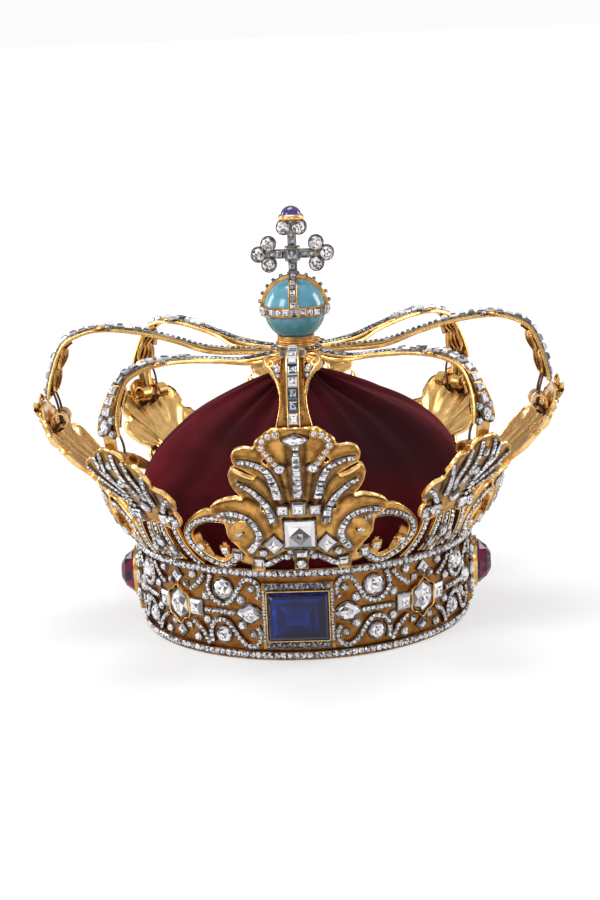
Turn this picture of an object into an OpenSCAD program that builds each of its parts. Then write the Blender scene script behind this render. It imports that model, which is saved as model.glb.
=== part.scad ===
// Closed royal crown: a jewelled circlet, eight palmettes, eight arches, a hub with
// an orb and cross, and a velvet cap. The front faces -Y, the foot rests at z = 0.

/* [Circlet] */
// Outer radius of the circlet at its foot
circlet_r = 89.6; // [84:0.1:98]
// Height of the circlet
circlet_h = 49.8; // [47:0.1:56]
// How much wider the radius is at the top of the circlet than at its foot
circlet_flare = 2.8; // [1:0.1:5]
// Thickness of the circlet's wall
circlet_wall = 1.8; // [1.4:0.1:2.6]
// Height of the stone rail along the foot and along the top
rail_h = 4.4; // [3.6:0.1:5.2]
// How far the rails stand proud of the field between them
rail_proud = 1.4; // [0.8:0.1:2]
// Height of the raised scrolls and settings on the field
relief = 1.1; // [0.7:0.1:1.4]
// Width of a scroll that carries a row of small stones
strip_w = 2.8; // [2:0.1:3.2]

/* [Main stones] */
// Width of the sapphires at the front and back
sapphire_w = 31; // [26:0.5:34]
// Height of the sapphires
sapphire_h = 25.4; // [20:0.2:27]
// How far a sapphire rises out of its bezel
sapphire_rise = 3.4; // [2:0.2:5]
// Width of the garnets at the sides
garnet_w = 22; // [18:0.5:25]
// Height of the garnets
garnet_h = 27; // [22:0.5:29]
// How far a garnet rises out of its bezel
garnet_rise = 10; // [6:0.5:13]
// Width of the metal rim round a main stone
bezel_rim = 0.9; // [0.7:0.1:1.3]
// How far a bezel's front stands off the field
bezel_proud = 3.4; // [2.6:0.1:4.5]
// Width of the stone border round a bezel
border_w = 2; // [1.6:0.1:2.4]

/* [Band stones] */
// Length of the pointed stones beside the bezels
almond_w = 14; // [11:0.5:15]
// Height of the pointed stones
almond_h = 9.4; // [7:0.2:10]
// Diameter of the upper round stones
round_upper_d = 11.4; // [9:0.2:12]
// Diameter of the lower round stones
round_lower_d = 9; // [7:0.2:10]
// Diameter of the small round stones
small_d = 4.4; // [3.4:0.1:4.8]
// Width of the rosette's centre stone
rosette_w = 15.4; // [12:0.2:16.4]
// Height of the rosette's centre stone
rosette_h = 16; // [13:0.2:17]
// Width of the square stones beside a rosette's centre stone
square_w = 8.6; // [7:0.2:9.2]

/* [Palmettes] */
// Angle by which the palmettes and arches sit turned on the circlet
upper_turn = 1.8; // [0:0.2:3]
// Height of the front and back palmettes above the circlet
front_rise = 82; // [74:1:88]
// How far the tips of the front and back palmettes lean out past the circlet
front_reach = 41; // [36:0.5:46]
// Height of the two side palmettes above the circlet
side_rise = 72; // [66:1:80]
// How far the tips of the side palmettes lean out
side_reach = 48; // [43:0.5:52]
// Height of the four palmettes between them
diagonal_rise = 67; // [62:1:74]
// How far the tips of these four lean out
diagonal_reach = 43; // [39:0.5:47]
// Half width of a front, back or side palmette's fan
fan_half_w = 34; // [31:0.5:36]
// Half width of the four narrow palmettes' fan
narrow_half_w = 27; // [24:0.5:29]
// Wall of a palmette, measured level
palmette_wall = 2.2; // [1.8:0.1:2.8]
// Width of the large square stone on a palmette
crest_w = 15.6; // [12:0.2:16.4]

/* [Arches] */
// Height of the arches' seat on the hub
hub_z = 146.8; // [140:0.2:154]
// How far the front, back and side arches rise above the hub at their crest
arch_crest = 15.6; // [11:0.2:19]
// How far the four arches between them rise
arch_crest_between = 7.8; // [5:0.2:12]
// How far inside its palmette's tip a front, back or side arch has its last bend
arch_inset = 5; // [4:0.2:7]
// The same for the four arches between them
arch_inset_between = 2.8; // [2.4:0.2:5]
// Width of an arch at its lower end and at its bow near the hub
arch_w = 19; // [16:0.5:20]
// Thickness of an arch's gold strip
arch_t = 1.6; // [1.2:0.1:2.2]
// Width of the raised stone rail along an arch
arch_rail_w = 5.4; // [4.4:0.1:6.4]
// Height of the raised stone rail along an arch
arch_rail_h = 1.8; // [1.2:0.1:2.4]

/* [Hub and orb] */
// Radius of the hub plate where the arches meet
hub_r = 14; // [13:0.2:16]
// Thickness of the hub plate
hub_t = 5; // [4:0.2:6]
// Radius of the enamelled orb
orb_r = 16.8; // [15:0.2:18.4]
// Width of the bands round the orb
orb_band_w = 4.2; // [3.4:0.1:5]
// Thickness of the bands round the orb
orb_band_t = 1.6; // [1.2:0.1:2.2]
// Radius of the collar that the orb sits in
collar_r = 10; // [8.6:0.2:11.6]

/* [Cross] */
// Half width of the cross, to the middle of its outer stones
cross_half_w = 18.2; // [16.5:0.2:20]
// Height from the top of the orb's bands to the middle of the cross
cross_foot_h = 11; // [10:0.2:14]
// Height from the middle of the cross to its upper stones
cross_top_h = 14.2; // [13:0.2:16]
// Thickness of the bars of the cross
cross_bar = 4.6; // [3.8:0.1:5.2]
// Diameter of the round stones in the trefoils
trefoil_d = 7; // [6:0.1:7.6]
// Radius of the cabochon on top
finial_r = 5.8; // [4.8:0.1:6.6]

/* [Cap] */
// Thickness of the velvet with its lining
cap_wall = 1.8; // [1.2:0.1:2.6]
// How far up inside the circlet the cap's lower edge lies
cap_foot_z = 14; // [8:0.5:24]
// How far the cap swells outward above the circlet
cap_swell = 1.8; // [0.6:0.2:3]
// Space between the cap's peak and the hub
cap_peak_gap = 6; // [1:0.2:9]
// Depth of the soft folds near the peak
fold_depth = 3; // [1:0.2:4]

/* [Gaps] */
// Space between two hard pieces that touch
seat_gap = 0.1; // [0.05:0.01:0.2]
// Space between the cap and the metal round it
cap_gap = 0.3; // [0.2:0.05:0.8]

/* [Hidden] */
PLACES = ["front", "front_right", "right", "back_right", "back", "back_left", "left", "front_left"];

GOLD = "goldenrod";
DIAMOND = "aliceblue";
SAPPHIRE = "mediumblue";
GARNET = "maroon";
VELVET = "darkred";
ENAMEL = "mediumturquoise";

eighth = 45;
function upper_turn_of(i) = eighth * i + upper_turn;
front_turn = -90;
round_fn = 48;
small_fn = 16;
sink = 0.8;
large_stone = 7;

// The circlet's surfaces at a height: outside of the rails, field, and inside
function rail_r(z) = circlet_r + circlet_flare * z / circlet_h;
function field_r(z) = rail_r(z) - rail_proud;
function inner_r(z) = field_r(z) - circlet_wall;
band_mid = circlet_h / 2;
flare_tilt = atan2(circlet_flare, circlet_h);
border_h = 4;
border_back = 4;
border_front = 0.55;
pocket_share = 0.5;

// Turns a child round the crown, to a place counted from the front
module turned(turn) {
    rotate([0, 0, front_turn + turn]) children();
}

// Sets a child on the outside at radius r and height z, its own +Z pointing outward and
// its own +X to the right of someone who looks at it. A tilt turns its face upward
module facing(turn, r, z, tilt = 0) {
    turned(turn) translate([r, 0, z]) rotate([0, 90 - tilt, 0]) rotate([0, 0, 90]) children();
}

// A flat outline, drawn as seen from outside, made a thick plate from inside the
// crown to past its widest palmette
plate_in = circlet_r / 2;
plate_out = circlet_r + circlet_flare + max(front_reach, side_reach, diagonal_reach) + large_stone;
module plate(turn) {
    turned(turn) rotate([90, 0, 90]) translate([0, 0, plate_in])
        linear_extrude(plate_out - plate_in) children();
}

// Smooth curve through points, with a number of steps between each two
function between(a, b, c, d, t) =
    (2 * b + (c - a) * t + (2 * a - 5 * b + 4 * c - d) * pow(t, 2) + (3 * b - a - 3 * c + d) * pow(t, 3)) / 2;
function smooth(p, steps) = let (last = len(p) - 1) concat(
    [for (i = [0:last - 1], k = [0:steps - 1])
        between(p[max(i - 1, 0)], p[i], p[i + 1], p[min(i + 2, last)], k / steps)],
    [p[last]]
);
function unit(v) = v / norm(v);
function left_of(v) = [-v[1], v[0]];
function along(p, i) = unit(p[min(i + 1, len(p) - 1)] - p[max(i - 1, 0)]);
// Outline of a strip of width w along the points p
function strip(p, w) = concat(
    [for (i = [0:len(p) - 1]) p[i] + left_of(along(p, i)) * w / 2],
    [for (i = [len(p) - 1:-1:0]) p[i] - left_of(along(p, i)) * w / 2]
);
// How far a stone rises, by its width
function stone_rise(w) = 1 + w / 8;

// A cut stone on a flat back. A square one has two steps of four facets and a table, the
// others eight facets and a table, and a large one a straight girdle too
girdle = 0.2;
step_out = 1.06;
step_up = 0.6;
table_share = 0.5;
module cut_stone(w, h, rise, sides = 8, table = table_share, point = 0) {
    square = sides == 4;
    // a pointed stone draws its slanting corners in
    shape = [for (i = [0:sides - 1]) let (a = 360 * (i + (square ? 0.5 : 0)) / sides, k = square ? sqrt(2) : 1)
        [k * w / 2 * cos(a), k * h / 2 * sin(a) * (1 - point * pow(cos(a), 2))]];
    rings = [[1, 0], [1, girdle * rise], [(1 + table) / 2 * step_out, step_up * rise], [table, rise]];
    keep = square ? [0, 2, 3] : (w > large_stone ? [0, 1, 3] : [0, 3]);
    points = [for (k = keep, p = shape) [p[0] * rings[k][0], p[1] * rings[k][0], rings[k][1]]];
    top = len(keep) - 1;
    polyhedron(points, concat(
        [[for (i = [0:sides - 1]) i]],
        [for (k = [0:top - 1], i = [0:sides - 1]) let (j = (i + 1) % sides, a = k * sides, b = a + sides)
            [a + i, b + i, b + j, a + j]],
        [[for (i = [sides - 1:-1:0]) top * sides + i]]
    ));
}

// Places on one eighth of the band, as [turn from the main stone, height share]
almond_at = [16.2, 0.5];
almond_point = 0.35;
upper_at = [25.4, 0.755];
lower_at = [26.4, 0.245];
curl_upper_at = [15.4, 0.77];
curl_lower_at = [15.6, 0.27];
bud_upper_at = [19.3, 0.645];
bud_lower_at = [19.3, 0.36];
knot_upper_at = [32.6, 0.645];
knot_lower_at = [32.6, 0.38];
curl_share = 0.8;
ROUNDS = [
    [upper_at, round_upper_d], [lower_at, round_lower_d],
    [curl_upper_at, small_d * curl_share], [curl_lower_at, small_d * curl_share],
    [bud_upper_at, small_d], [bud_lower_at, small_d],
    [knot_upper_at, small_d], [knot_lower_at, small_d]
];
// Places round a rosette's centre, as [turn from it, height share]
square_off = 7.9;
corner_upper_at = [7.4, 0.86];
corner_lower_at = [7.6, 0.165];
centre_at = 0.5;
top_stone_at = 0.823;
low_stone_at = 0.227;
rosette_point = 0.2;
// Sizes of the stones over and under the centre, by the square ones
top_stone_share = 0.8;
low_stone_share = [0.8, 0.66];

// Middle lines of the raised scrolls of one eighth, as [turn from the main stone, height share]
scroll_steps = 2;
upper_scroll = [[29.6, 0.9], [30.9, 0.77], [29.8, 0.66], [26.2, 0.59], [22.4, 0.635], [19.9, 0.76],
    [17.2, 0.875], [13.8, 0.86], [12.4, 0.76], [13.5, 0.665]];
lower_scroll = [[30.6, 0.15], [31, 0.28], [29, 0.39], [25.2, 0.41], [22.4, 0.33], [19.9, 0.21],
    [17, 0.145], [13.8, 0.165], [12.6, 0.27], [13.8, 0.36]];
middle_scroll = [[21, 0.5], [26, 0.505], [33, 0.5]];
upper_branch = [[32.2, 0.89], [35, 0.78], [38.6, 0.7]];
lower_branch = [[32, 0.12], [34.4, 0.26], [38.6, 0.35]];
SCROLLS = [upper_scroll, lower_scroll, middle_scroll, upper_branch, lower_branch];
scroll_centre = 25;

function band_z(share) = share * circlet_h;
// A scroll's points in millimetres, seen straight on from the middle of its eighth
function flat_place(p, side) =
    [side * field_r(band_z(p[1])) * sin(p[0] - scroll_centre), band_z(p[1])];

// The eight scrolled fields, as plates to be cut to the band
module field_scrolls() {
    for (quarter = [0:3], side = [-1, 1])
        plate(2 * eighth * quarter + side * scroll_centre)
            for (s = SCROLLS)
                polygon(strip(smooth([for (p = s) flat_place(p, side)], scroll_steps), strip_w));
}

// A shell that follows the field between the rails, as high as the relief
module field_shell() {
    foot = rail_h - seat_gap;
    top = circlet_h - foot;
    rotate_extrude($fn = round_fn) polygon([
        [field_r(foot) - sink, foot], [field_r(foot) + relief, foot],
        [field_r(top) + relief, top], [field_r(top) - sink, top]
    ]);
}

// One flat bezel with its stone border and the pocket for a main stone
module bezel(turn, w, h) {
    front = field_r(band_mid) + bezel_proud;
    difference() {
        union() {
            facing(turn, front - bezel_proud, band_mid)
                linear_extrude(bezel_proud) square([w + 2 * bezel_rim, h + 2 * bezel_rim], center = true);
            facing(turn, front - bezel_proud - border_back, band_mid)
                linear_extrude(border_back + border_front * bezel_proud)
                    square([w + 2 * (bezel_rim + border_w), h + 2 * (bezel_rim + border_h)], center = true);
        }
        facing(turn, front - pocket_share * bezel_proud, band_mid)
            linear_extrude(bezel_proud) square([w + 2 * seat_gap, h + 2 * seat_gap], center = true);
        translate([0, 0, -circlet_h / 2])
            cylinder(h = 2 * circlet_h, r1 = inner_r(-circlet_h / 2) + sink,
                r2 = inner_r(1.5 * circlet_h) + sink, $fn = round_fn);
    }
}

module circlet() {
    color(GOLD) {
        rotate_extrude($fn = round_fn) polygon([
            [inner_r(0), 0], [rail_r(0), 0], [rail_r(rail_h), rail_h],
            [field_r(rail_h), rail_h], [field_r(circlet_h - rail_h), circlet_h - rail_h],
            [rail_r(circlet_h - rail_h), circlet_h - rail_h], [rail_r(circlet_h), circlet_h],
            [inner_r(circlet_h), circlet_h]
        ]);
        intersection() {
            field_shell();
            field_scrolls();
        }
        for (turn = [0, 180]) bezel(turn, sapphire_w, sapphire_h);
        for (turn = [90, 270]) bezel(turn, garnet_w, garnet_h);
    }
}

// A main stone in its bezel's pocket
sapphire_table = 0.62;
garnet_table = 0.4;
module main_stone(turn, w, h, rise, table) {
    back = field_r(band_mid) + (1 - pocket_share) * bezel_proud + seat_gap;
    facing(turn, back, band_mid)
        cut_stone(w, h, pocket_share * bezel_proud + rise, w > h ? 4 : 8, table);
}
module sapphire(turn) {
    color(SAPPHIRE) main_stone(turn, sapphire_w, sapphire_h, sapphire_rise, sapphire_table);
}
module garnet(turn) {
    color(GARNET) main_stone(turn, garnet_w, garnet_h, garnet_rise, garnet_table);
}

// A stone on the field of the band
module band_stone(turn, share, w, h, sides = 8, point = 0) {
    facing(turn, field_r(band_z(share)) + seat_gap, band_z(share), -flare_tilt)
        cut_stone(w, h, stone_rise(w), sides, table_share, point);
}

// The stones of one eighth of the band, between a main stone and a rosette
module field_stones(i) {
    main = 2 * eighth * floor((i + 1) / 2);
    side = i % 2 == 0 ? 1 : -1;
    color(DIAMOND) {
        band_stone(main + side * almond_at[0], almond_at[1], almond_w, almond_h, 8, almond_point);
        for (s = ROUNDS) band_stone(main + side * s[0][0], s[0][1], s[1], s[1]);
    }
}

// The nine stones of a rosette
module rosette_stones(turn) {
    color(DIAMOND) {
        band_stone(turn, centre_at, rosette_w, rosette_h, 8, rosette_point);
        band_stone(turn, top_stone_at, square_w, top_stone_share * square_w);
        band_stone(turn, low_stone_at, low_stone_share[0] * square_w, low_stone_share[1] * square_w);
        for (side = [-1, 1]) {
            band_stone(turn + side * square_off, centre_at, square_w, square_w, 4);
            band_stone(turn + side * corner_upper_at[0], corner_upper_at[1], small_d, small_d);
            band_stone(turn + side * corner_lower_at[0], corner_lower_at[1], small_d, small_d);
        }
    }
}

// A palmette's rise and reach by its place, and its outer face as [rise share, reach share]
function rise_of(i) = i % 2 == 1 ? diagonal_rise : (i % 4 == 0 ? front_rise : side_rise);
function reach_of(i) = i % 2 == 1 ? diagonal_reach : (i % 4 == 0 ? front_reach : side_reach);
LEAN = [[0, 0], [0.107, 0.147], [0.253, 0.274], [0.473, 0.402], [0.657, 0.68], [0.827, 0.897], [1, 1]];
leaf_inset = 0.3;
leaf_foot_r = rail_r(circlet_h) - leaf_inset;
leaf_foot_z = circlet_h + seat_gap;
function leaf_r(i, share) = leaf_foot_r + reach_of(i) * lookup(share, LEAN);
function leaf_z(i, share) = leaf_foot_z + rise_of(i) * share;

// A shell of revolution through a palmette's face, from inside to outside offsets
module leaf_shell(i, inside, outside) {
    rotate_extrude($fn = round_fn) polygon(concat(
        [for (s = LEAN) [leaf_r(i, s[0]) + outside, leaf_z(i, s[0])]],
        [for (k = [len(LEAN) - 1:-1:0]) [leaf_r(i, LEAN[k][0]) - inside, leaf_z(i, LEAN[k][0])]]
    ));
}

// Right half of a wide palmette's outline, as [half width share, rise share], top to foot
WIDE = [[0, 1.04], [0.26, 1.04], [0.42, 0.985], [0.52, 0.94], [0.61, 0.925], [0.63, 0.885], [0.75, 0.89],
    [0.87, 0.868], [0.915, 0.82], [0.87, 0.765], [0.94, 0.745], [0.985, 0.69], [0.93, 0.605], [0.81, 0.52],
    [0.93, 0.525], [1.1, 0.505], [1.26, 0.465], [1.31, 0.42], [1.2, 0.375], [1.1, 0.33], [1.06, 0.25],
    [0.92, 0.18]];
WIDE_FOOT = [[0.8, 0.12], [0.74, 0.05], [0.74, -0.05], [0.54, -0.05], [0.5, 0.05], [0.3, 0.1], [0.15, 0.12],
    [0.12, 0.06], [0.12, -0.05]];
// Raised ribs of a wide palmette, each a row of stones
WIDE_RIBS = [
    [[0.27, 0.963], [0.42, 0.947], [0.48, 0.92], [0.43, 0.88], [0.31, 0.82], [0.25, 0.78]],
    [[0.84, 0.8], [0.65, 0.79], [0.46, 0.745], [0.35, 0.65], [0.29, 0.52]],
    [[0.87, 0.65], [0.72, 0.61], [0.565, 0.54], [0.44, 0.45], [0.38, 0.34]],
    [[1.19, 0.395], [0.95, 0.405], [0.73, 0.365], [0.62, 0.3], [0.6, 0.24], [0.74, 0.15]]
];
middle_rib = [[0, 0.54], [0, 0.895]];
// Small cuts through a wide palmette: a slit between two lobes and two tear holes
WIDE_SLIT = [[0.85, 0.77], [0.62, 0.7], [0.64, 0.69], [0.88, 0.75]];
WIDE_TEARS = [[0.41, 0.825, 0.035], [0.52, 0.43, 0.035]];
// Stones of a wide palmette: [half width share, rise share, width, height, sides, point]
small_crest = 5.2;
WIDE_MIDDLE = [
    [0, 0.273, crest_w, crest_w, 4, 0], [0, 0.447, crest_w * 0.5, crest_w * 0.46, 4, 0],
    [0, 0.935, crest_w * 0.8, crest_w * 0.36, 8, 0.35], [0, 0.045, small_crest, small_crest * 1.1, 8, 0]
];
WIDE_SIDES = [
    [0.25, 0.44, small_crest, small_crest, 4, 0], [0.44, 0.195, small_crest * 1.5, small_crest * 1.4, 8, 0.3],
    [0.21, 0.735, small_crest, small_crest, 8, 0], [0.91, 0.292, small_d, small_d, 8, 0],
    [0.93, 0.12, small_d, small_d, 4, 0], [0.6, 0.1, small_d, small_d, 4, 0]
];
// The open scroll on each side of a wide palmette, as [turn from its middle, rise share]
scroll_turn = 27.4;
OPEN_SCROLL = [[17.5, 0.34], [22, 0.36], [26.2, 0.355], [31, 0.31], [33.6, 0.245], [33.4, 0.165], [30, 0.075],
    [25.3, 0.028], [21.4, 0.06], [17.4, 0.13]];
open_scroll_w = 4.6;
scroll_leaf_at = [30.4, 0.155];
scroll_leaf_r = 3.4;

// Right half of a narrow palmette's outline, its ribs, the bars of its open foot and its stones
NARROW = [[0, 1.03], [0.22, 0.99], [0.4, 0.94], [0.42, 0.89], [0.62, 0.9], [0.8, 0.85], [0.84, 0.77],
    [0.78, 0.71], [0.96, 0.685], [1, 0.61], [0.88, 0.53], [0.7, 0.48], [0.76, 0.42], [0.7, 0.35], [0.5, 0.31],
    [0.26, 0.33], [0, 0.33]];
NARROW_RIBS = [
    [[0.14, 0.62], [0.26, 0.75], [0.3, 0.88]],
    [[0.26, 0.56], [0.46, 0.7], [0.68, 0.83]],
    [[0.36, 0.47], [0.6, 0.55], [0.86, 0.62]]
];
NARROW_BARS = [[[0.5, 0.36], [0.56, 0.18], [0.66, -0.05]], [[0.17, 0.36], [0.23, 0.2], [0.27, 0.05]]];
narrow_stem = [[0, 0.36], [0, -0.05]];
narrow_bar_w = 3.4;
NARROW_MIDDLE = [
    [0, 0.5, crest_w * 0.5, crest_w * 0.64, 8, 0.2], [0, 0.2, small_d, crest_w * 0.56, 8, 0]
];
NARROW_SIDES = [
    [0.36, 0.4, small_crest, small_crest, 4, 0], [0.25, 0.13, small_d * 0.8, crest_w * 0.44, 8, 0],
    [0.62, 0.38, small_d, small_d, 8, 0]
];
rib_relief = 1;
leaf_steps = 2;
seat_margin = 0.5;

function half_w(i) = i % 2 == 1 ? narrow_half_w : fan_half_w;
// Millimetres on a palmette seen straight on, from [half width share, rise share]
function on_leaf(i, p, side = 1) = [side * p[0] * half_w(i), leaf_z(i, p[1])];
function on_leaf_all(i, list, side = 1) = [for (p = list) on_leaf(i, p, side)];
function mirrored(p) = concat(p, [for (k = [len(p) - 1:-1:0]) [-p[k][0], p[k][1]]]);

// Ribs and strips of a palmette, on one side or both
module leaf_strip(i, list, w) {
    for (side = [-1, 1]) polygon(strip(smooth(on_leaf_all(i, list, side), leaf_steps), w));
}

function middle_stones(i) = i % 2 == 0 ? WIDE_MIDDLE : NARROW_MIDDLE;
function side_stones(i) = i % 2 == 0 ? WIDE_SIDES : NARROW_SIDES;

// The outline of a seat, a little wider than its stone
module seat_outline(i, s, side) {
    w = s[2] + seat_margin;
    h = s[3] + seat_margin;
    translate(on_leaf(i, s, side))
        if (s[4] == 4) square([w, h], center = true);
        else polygon([for (a = [0:45:315]) [w / 2 * cos(a), h / 2 * sin(a)]]);
}
module seats(i) {
    for (s = middle_stones(i)) seat_outline(i, s, 1);
    for (s = side_stones(i), side = [-1, 1]) seat_outline(i, s, side);
}

module open_scroll(i, side, w) {
    points = [for (p = OPEN_SCROLL) [side * leaf_r(i, p[1]) * sin(p[0] - scroll_turn), leaf_z(i, p[1])]];
    polygon(strip(smooth(points, leaf_steps), w));
}

module palmette_wide(i, turn) {
    outline = concat(smooth(on_leaf_all(i, WIDE), leaf_steps), on_leaf_all(i, WIDE_FOOT));
    intersection() {
        leaf_shell(i, palmette_wall, 0);
        union() {
            plate(turn) difference() {
                polygon(mirrored(outline));
                for (side = [-1, 1]) {
                    polygon(on_leaf_all(i, WIDE_SLIT, side));
                    for (t = WIDE_TEARS)
                        translate(on_leaf(i, t, side)) circle(t[2] * fan_half_w, $fn = small_fn);
                }
            }
            for (side = [-1, 1]) plate(turn + side * scroll_turn) {
                open_scroll(i, side, open_scroll_w);
                translate([side * leaf_r(i, scroll_leaf_at[1]) * sin(scroll_leaf_at[0] - scroll_turn),
                    leaf_z(i, scroll_leaf_at[1])]) circle(scroll_leaf_r, $fn = small_fn);
            }
        }
    }
    intersection() {
        leaf_shell(i, palmette_wall / 2, rib_relief);
        union() {
            plate(turn) {
                for (r = WIDE_RIBS) leaf_strip(i, r, strip_w);
                polygon(strip(on_leaf_all(i, middle_rib), strip_w));
                seats(i);
            }
            for (side = [-1, 1]) plate(turn + side * scroll_turn) open_scroll(i, side, strip_w);
        }
    }
}

module palmette_narrow(i, turn) {
    intersection() {
        leaf_shell(i, palmette_wall, 0);
        plate(turn) {
            polygon(mirrored(smooth(on_leaf_all(i, NARROW), leaf_steps)));
            for (b = NARROW_BARS) leaf_strip(i, b, narrow_bar_w);
            polygon(strip(on_leaf_all(i, narrow_stem), narrow_bar_w));
        }
    }
    intersection() {
        leaf_shell(i, palmette_wall / 2, rib_relief);
        plate(turn) {
            for (r = NARROW_RIBS) leaf_strip(i, r, strip_w);
            leaf_strip(i, NARROW_BARS[0], strip_w);
            seats(i);
        }
    }
}

module palmette(i) {
    color(GOLD) if (i % 2 == 0) palmette_wide(i, upper_turn_of(i)); else palmette_narrow(i, upper_turn_of(i));
}

// A stone on its seat. It leans as the face does from its lower to its upper edge, and
// lies as far out as the face between them bulges
seat_tries = 8;
function edge_share(i, h) = h / 2 / rise_of(i);
function chord_r(i, low, high, share) =
    leaf_r(i, low) + (leaf_r(i, high) - leaf_r(i, low)) * (share - low) / (high - low);
function bulge(i, low, high) = max([for (k = [0:seat_tries])
    let (share = low + (high - low) * k / seat_tries) leaf_r(i, share) - chord_r(i, low, high, share)]);
module leaf_stone(i, side, s) {
    low = max(s[1] - edge_share(i, s[3]), 0);
    high = min(s[1] + edge_share(i, s[3]), 1);
    lean = atan2(leaf_r(i, high) - leaf_r(i, low), (high - low) * rise_of(i));
    r = chord_r(i, low, high, s[1]) + bulge(i, low, high) + rib_relief + seat_gap / cos(lean);
    facing(upper_turn_of(i) + asin(side * s[0] * half_w(i) / r), r, leaf_z(i, s[1]), -lean)
        cut_stone(s[2], s[3], stone_rise(s[2]), s[4], table_share, s[5]);
}

module crest_stones(i) {
    color(DIAMOND) {
        for (s = middle_stones(i)) leaf_stone(i, 1, s);
        for (s = side_stones(i), side = [-1, 1]) leaf_stone(i, side, s);
    }
}

// An arch's middle line on its upper face, as shares of its reach and its crest, from the hub
// to its last bend; then down past the palmette's tip and in behind it
ARCH = [[0.34, 0.14], [0.48, 0.5], [0.62, 0.84], [0.77, 1], [0.87, 0.84], [0.945, 0.4]];
ARCH_BETWEEN = [[0.31, 0], [0.46, 0.44], [0.62, 0.86], [0.76, 1], [0.86, 0.78], [0.94, 0.08]];
shoulder_share = 0.45;
arch_steps = 4;
strap_gap = 0.7;
function crest_of(i) = i % 2 == 0 ? arch_crest : arch_crest_between;
function arch_reach(i) = leaf_r(i, 1) - (i % 2 == 0 ? arch_inset : arch_inset_between);
function behind(i, share) = [leaf_r(i, share) - palmette_wall - strap_gap, leaf_z(i, share)];
function arch_line(i) = let (out = arch_reach(i)) smooth(concat(
    [[hub_r + seat_gap, hub_z]],
    [for (p = i % 2 == 0 ? ARCH : ARCH_BETWEEN) [p[0] * out, hub_z + p[1] * crest_of(i)]],
    [[out, leaf_z(i, 1) + shoulder_share * (hub_z - leaf_z(i, 1))]],
    [behind(i, 0.93), behind(i, 0.8)]
), arch_steps);
// Width of the strip and height of its rail along the arch, as shares
ARCH_WIDTH = [[0, 0.48], [0.05, 0.62], [0.1, 1], [0.16, 0.8], [0.24, 0.62], [0.4, 0.62], [0.44, 0.76],
    [0.5, 0.62], [0.64, 0.64], [0.74, 0.78], [0.815, 1], [0.835, 0.34], [1, 0.3]];
ARCH_RAIL = [[0, 1], [0.81, 1], [0.835, 0.06], [1, 0.06]];
rail_top_share = 0.84;
rail_most = 0.96;

module arch(i) {
    line = arch_line(i);
    last = len(line) - 1;
    points = [for (k = [0:last]) let (
        n = left_of(along(line, k)),
        w = arch_w * lookup(k / last, ARCH_WIDTH) / 2,
        rail = min(arch_rail_w / 2, w * rail_most),
        up = arch_rail_h * lookup(k / last, ARCH_RAIL)
    ) for (s = [[-w, -arch_t], [-w, 0], [-rail, 0], [-rail * rail_top_share, up], [rail * rail_top_share, up],
        [rail, 0], [w, 0], [w, -arch_t]])
        [line[k][0] + n[0] * s[1], s[0], line[k][1] + n[1] * s[1]]];
    ring = 8;
    color(GOLD) turned(upper_turn_of(i)) polyhedron(points, concat(
        [[for (k = [0:ring - 1]) k]],
        [for (k = [0:last - 1], j = [0:ring - 1]) let (a = k * ring + j, b = k * ring + (j + 1) % ring)
            [a, a + ring, b + ring, b]],
        [[for (k = [ring - 1:-1:0]) last * ring + k]]
    ));
}

hub_top = hub_z + hub_t / 3;
hub_foot = hub_top - hub_t;
orb_lift = 4;
orb_z = hub_top + orb_lift + orb_r;
frame_in = orb_r + seat_gap;
frame_out = frame_in + orb_band_t;

// The hub plate with its collar; its lower edge is bevelled
hub_bevel = 0.3;
collar_step = 1;
module hub() {
    seat_z = orb_z - sqrt(pow(orb_r, 2) - pow(collar_r - collar_step, 2));
    color(GOLD) difference() {
        rotate_extrude($fn = round_fn) polygon([
            [0, hub_foot], [hub_r * (1 - hub_bevel), hub_foot], [hub_r, hub_foot + hub_t * hub_bevel],
            [hub_r, hub_top], [collar_r, hub_top + collar_step], [collar_r, seat_z], [0, seat_z]
        ]);
        translate([0, 0, orb_z]) sphere(frame_in, $fn = round_fn);
    }
}

module orb() {
    color(ENAMEL) translate([0, 0, orb_z]) sphere(orb_r, $fn = round_fn);
}

// A ring round the orb, lying level
module orb_ring(w) {
    difference() {
        translate([0, 0, -w / 2]) cylinder(h = w, r = frame_out, $fn = round_fn);
        sphere(frame_in, $fn = round_fn);
    }
}

// The level band and the two straps over the orb's upper half
strap_share = 0.84;
module orb_frame() {
    color(GOLD) translate([0, 0, orb_z]) {
        orb_ring(orb_band_w);
        intersection() {
            for (turn = [0, 90]) rotate([90, 0, turn]) orb_ring(strap_share * orb_band_w);
            translate([0, 0, frame_out]) cube([4 * orb_r, 4 * orb_r, 2 * frame_out], center = true);
        }
    }
}

cross_z = orb_z + frame_out + cross_foot_h;
trefoil_in = 0.78 * trefoil_d;
pair_off = 0.58 * trefoil_d;
block_w = 1.7 * cross_bar;
block_t = 1.2 * cross_bar;
setting_d = trefoil_d + 2 * seat_margin;
finial_rim = 0.5;
finial_rim_h = 1.4;
finial_foot = cross_z + cross_top_h + setting_d / 2;
finial_z = finial_foot + finial_rim_h;
// Places of the cross's round stones, as [x, z] from its middle
TREFOILS = concat(
    [for (side = [-1, 1], p = [[0, 0], [-trefoil_in, trefoil_in], [-trefoil_in, -trefoil_in]])
        [side * (cross_half_w + p[0]), p[1]]],
    [for (side = [-1, 1]) [side * pair_off, cross_top_h]]
);

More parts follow.
